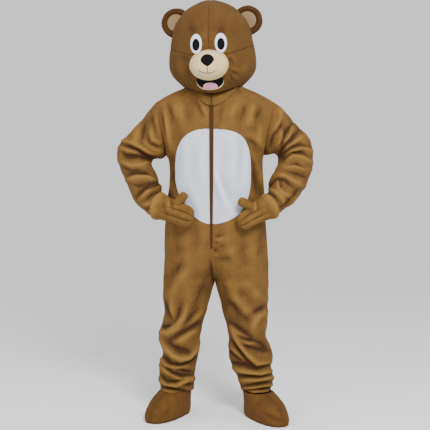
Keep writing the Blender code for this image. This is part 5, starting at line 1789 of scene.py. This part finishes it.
def muzzleGrid():
    turns = fullTurn(72)
    halfWidth, halfHeight, foot = face["muzzleHalfWidth"], face["muzzleHalfHeight"], face["muzzleFoot"]
    root = []
    for turn in turns:
        height = face["muzzleHeight"] + halfHeight * foot * math.sin(turn)
        height = max(height, face["muzzleLowest"])
        root.append(onFace(halfWidth * foot * math.cos(turn), height, face["muzzleSink"]))
    root = np.array(root)
    rings = []
    for far, size in finer(np.array(muzzleProfile), 6, 0):
        size = max(size, 0.0)
        y = face["muzzleY"] - face["muzzleReach"] * far
        middle = face["muzzleHeight"] - face["muzzleSag"] * far
        outline = []
        for turn in turns:
            across, up = halfWidth * size * math.cos(turn), halfHeight * size * math.sin(turn)
            outline.append((across, y, middle + up))
        away = placed(outline) - root
        ring = root + away * softStep(far / face["muzzleBlend"])
        spread = min(far / face["muzzleSpread"], 1.0)
        ring[:, [0, 2]] = root[:, [0, 2]] + away[:, [0, 2]] * spread
        rings.append(ring)
    return np.array(rings)


def makeMuzzle():
    depth, size, edge = face["muzzleUneven"]
    grid = muzzleGrid()
    middle = placed((0.0, face["muzzleMiddleY"], face["muzzleHeight"]))
    normals = gridNormals(grid, True, middle)
    normals[-1] = headFront
    moves = depth * softNoise(grid, size, 61) * easedEdge(grid, ("top", "bottom"), edge)
    shown = grid + normals * moves[..., None]
    piece = clothSheet("fleeceMuzzle", shown, face["muzzleCloth"], middle, closed=True)
    return settle(piece, "muzzle", "muzzle")


muzzleTree = surfaceTree([makeMuzzle()])


def makeNose():
    halfWidth, halfHeight = face["noseSize"]
    rings = []
    for far, size in finer(np.array(noseProfile), 6, 0):
        size = max(size, 0.0)
        ring = []
        for turn in fullTurn(54):
            narrow = 1.0 - face["noseNarrowing"] * max(-math.sin(turn), 0.0)
            x = halfWidth * size * math.cos(turn) * narrow
            height = face["noseHeight"] + halfHeight * size * math.sin(turn)
            ring.append((x, face["noseY"] - face["noseReach"] * far, height))
        rings.append(placed(ring))
    middle = placed((0.0, face["noseY"], face["noseHeight"]))
    piece = clothSheet("feltNose", rings, 0.0, middle, closed=True)
    closeEnds(piece)
    settle(piece, "black", "nose")


def feltOval(name, x, height, size, lift, cloth):
    # a felt disc laid on the face, its edge turned down a little
    turned, width = face["ovalEdge"]
    rings = []
    for share in np.linspace(1.0, 0.0, 9):
        edge = 1 - math.exp(-(((1 - share) * size[0] / width) ** 2))
        ring = []
        for turn in fullTurn(48):
            aside, up = size[0] * share * math.cos(turn), size[1] * share * math.sin(turn)
            ring.append(onFace(x + aside, height + up, lift - turned + turned * edge))
        rings.append(ring)
    return clothSheet(name, rings, cloth, placed((0.0, 0.0, height)), closed=True)


def makeEyes():
    for side, label in sides.items():
        x, height = side * face["eyeX"], face["eyeHeight"]
        white = feltOval(f"eye{label}", x, height, face["eyeSize"], 0.0034, 0.0028)
        settle(white, "eye", f"eye_{label.lower()}")
        height -= face["pupilDrop"]
        pupil = feltOval(f"pupil{label}", x, height, face["pupilSize"], 0.0056, 0.0018)
        settle(pupil, "black", f"pupil_{label.lower()}")


def mixed(start, end, share):
    return start + (end - start) * share


def lowerEdge(share):
    return mixed(face["mouthTop"], face["mouthBottom"], oval(share, face["mouthPower"]))


def faceStrip(name, shares, top, bottom, lift, cloth, rows):
    # a strip of cloth across the face between two lines, which give a height for each share of the mouth
    grid = []
    for row in range(rows + 1):
        line = []
        for share in shares:
            height = mixed(top(share), bottom(share), row / rows)
            line.append(onFace(face["mouthHalfWidth"] * share, height, lift))
        grid.append(line)
    return clothSheet(name, grid, cloth, placed((0.0, 0.0, face["mouthTop"])))


def makeMouth():
    across = np.linspace(-1, 1, 49)
    tongueShare = face["tongueHalfWidth"] / face["mouthHalfWidth"]

    def mouthTop(share):
        return face["mouthTop"]

    def tongueTop(share):
        roundEnd = oval(share / tongueShare, 2.2)
        return face["mouthBottom"] + face["tongueBase"] + face["tongueHeight"] * roundEnd

    def lowerBy(drop):
        return lambda share: lowerEdge(share) - drop

    mesh = faceStrip("mouthMesh", across * 0.97, mouthTop, lowerBy(-0.001), 0.0026, 0.002, 12)
    settle(mesh, "black", "mouth")
    trimEnd = face["trimWidth"] * 0.6
    trim = faceStrip("mouthTrim", across * 0.985, lowerBy(-0.0005), lowerBy(trimEnd), 0.0044, 0.004, 4)
    settle(trim, "muzzle", "mouth_lip")
    shares = across * tongueShare * 0.97
    tongue = faceStrip("feltTongue", shares, tongueTop, lowerBy(-0.0012), 0.0062, 0.0034, 8)
    settle(tongue, "tongue", "tongue")


def makeFaceStitches():
    # a short line below the nose and a plain smile, both embroidered
    start = face["noseHeight"] - face["noseSize"][1]
    line = [(0.0, start - down) for down in np.linspace(0.001, face["philtrum"], 16)]
    smile = []
    for across in np.linspace(-1, 1, 60):
        smile.append((face["smileHalfWidth"] * across, line[-1][1] + face["smileRise"] * across**2))
    paths = []
    for path in (line, smile):
        paths.append([onFace(x, height, face["stitchLift"], muzzleTree) for x, height in path])
    beads("faceStitches", paths, face["embroidery"], "darkThread")


makeNose()
makeEyes()
makeMouth()
makeFaceStitches()
print("scene: face made")


def headForm(name):
    # the head's filled outer form, a little larger, for cutting the ears to it
    grow = head["earClearance"]
    crown = headRows[0][0]
    rings = []
    for height in np.append(np.linspace(crown + grow, 1.74, 20), np.linspace(1.72, 1.50, 10)):
        ring = []
        for turn in fullTurn(72):
            x, y, _ = headPoint(turn, min(height, crown - 1e-4))
            larger = 1 + grow / max(math.hypot(x, y), 1e-6)
            ring.append([x * larger, y * larger, height])
        rings.append(ring)
    made = clothSheet(name, placed(rings), 0.0, placed(head["middle"]), closed=True)
    closeEnds(made)
    return made


def earRing(side, radius, y):
    across, up = radius * np.cos(fullTurn(64)), radius * np.sin(fullTurn(64))
    return np.stack([side * ears["x"] + across, np.full(64, y), ears["height"] + up], axis=-1)


def makeEars():
    profile = finer(np.array(ears["profile"]), 5, 0)
    radii, depths = zip(*ears["profile"][:4])
    for side, label in sides.items():
        rings = [earRing(side, max(radius, 0.0), ears["y"] + y) for radius, y in profile]
        grid = placed(rings)
        middle = placed((side * ears["x"], ears["y"], ears["height"]))
        normals = gridNormals(grid, True, middle)
        moves = ears["unevenness"] * softNoise(grid, ears["unevenSize"], 71 + side)
        moves[[0, -1]] = 0
        piece = clothSheet(f"ear{label}", grid + normals * moves[..., None], 0.0, middle, closed=True)
        cutWith(piece, headForm(f"earCutter{label}"))
        settle(piece, "earRim", f"ear_{label.lower()}")
        disc = []
        for share in np.linspace(1.0, 0.0, 9):
            radius = ears["liningRadius"] * share
            depth = ears["y"] + float(np.interp(radius, radii, depths)) - ears["liningLift"]
            disc.append(earRing(side, radius, depth + ears["liningTuck"] * share**6))
        behind = placed((side * ears["x"], ears["liningMiddleY"], ears["height"]))
        patch = clothSheet(f"earLining{label}", placed(disc), ears["liningCloth"], behind, closed=True)
        cutWith(patch, headForm(f"liningCutter{label}"))
        settle(patch, "earLining", f"ear_lining_{label.lower()}")


makeEars()
print("scene: ears made")

# Floor


def makeFloor():
    reach, height = lightSettings["floorHalfSize"], -originHeight - lightSettings["floorDrop"]
    corners = [(x * reach, y * reach, height) for x, y in ((-1, -1), (1, -1), (1, 1), (-1, 1))]
    floor = meshFrom("studioFloor", corners, [[0, 1, 2, 3]])
    floor.data.materials.append(plainFinish("paleStudioPaper", lightSettings["floorColour"], 0.9))


makeFloor()
print("scene: floor made")
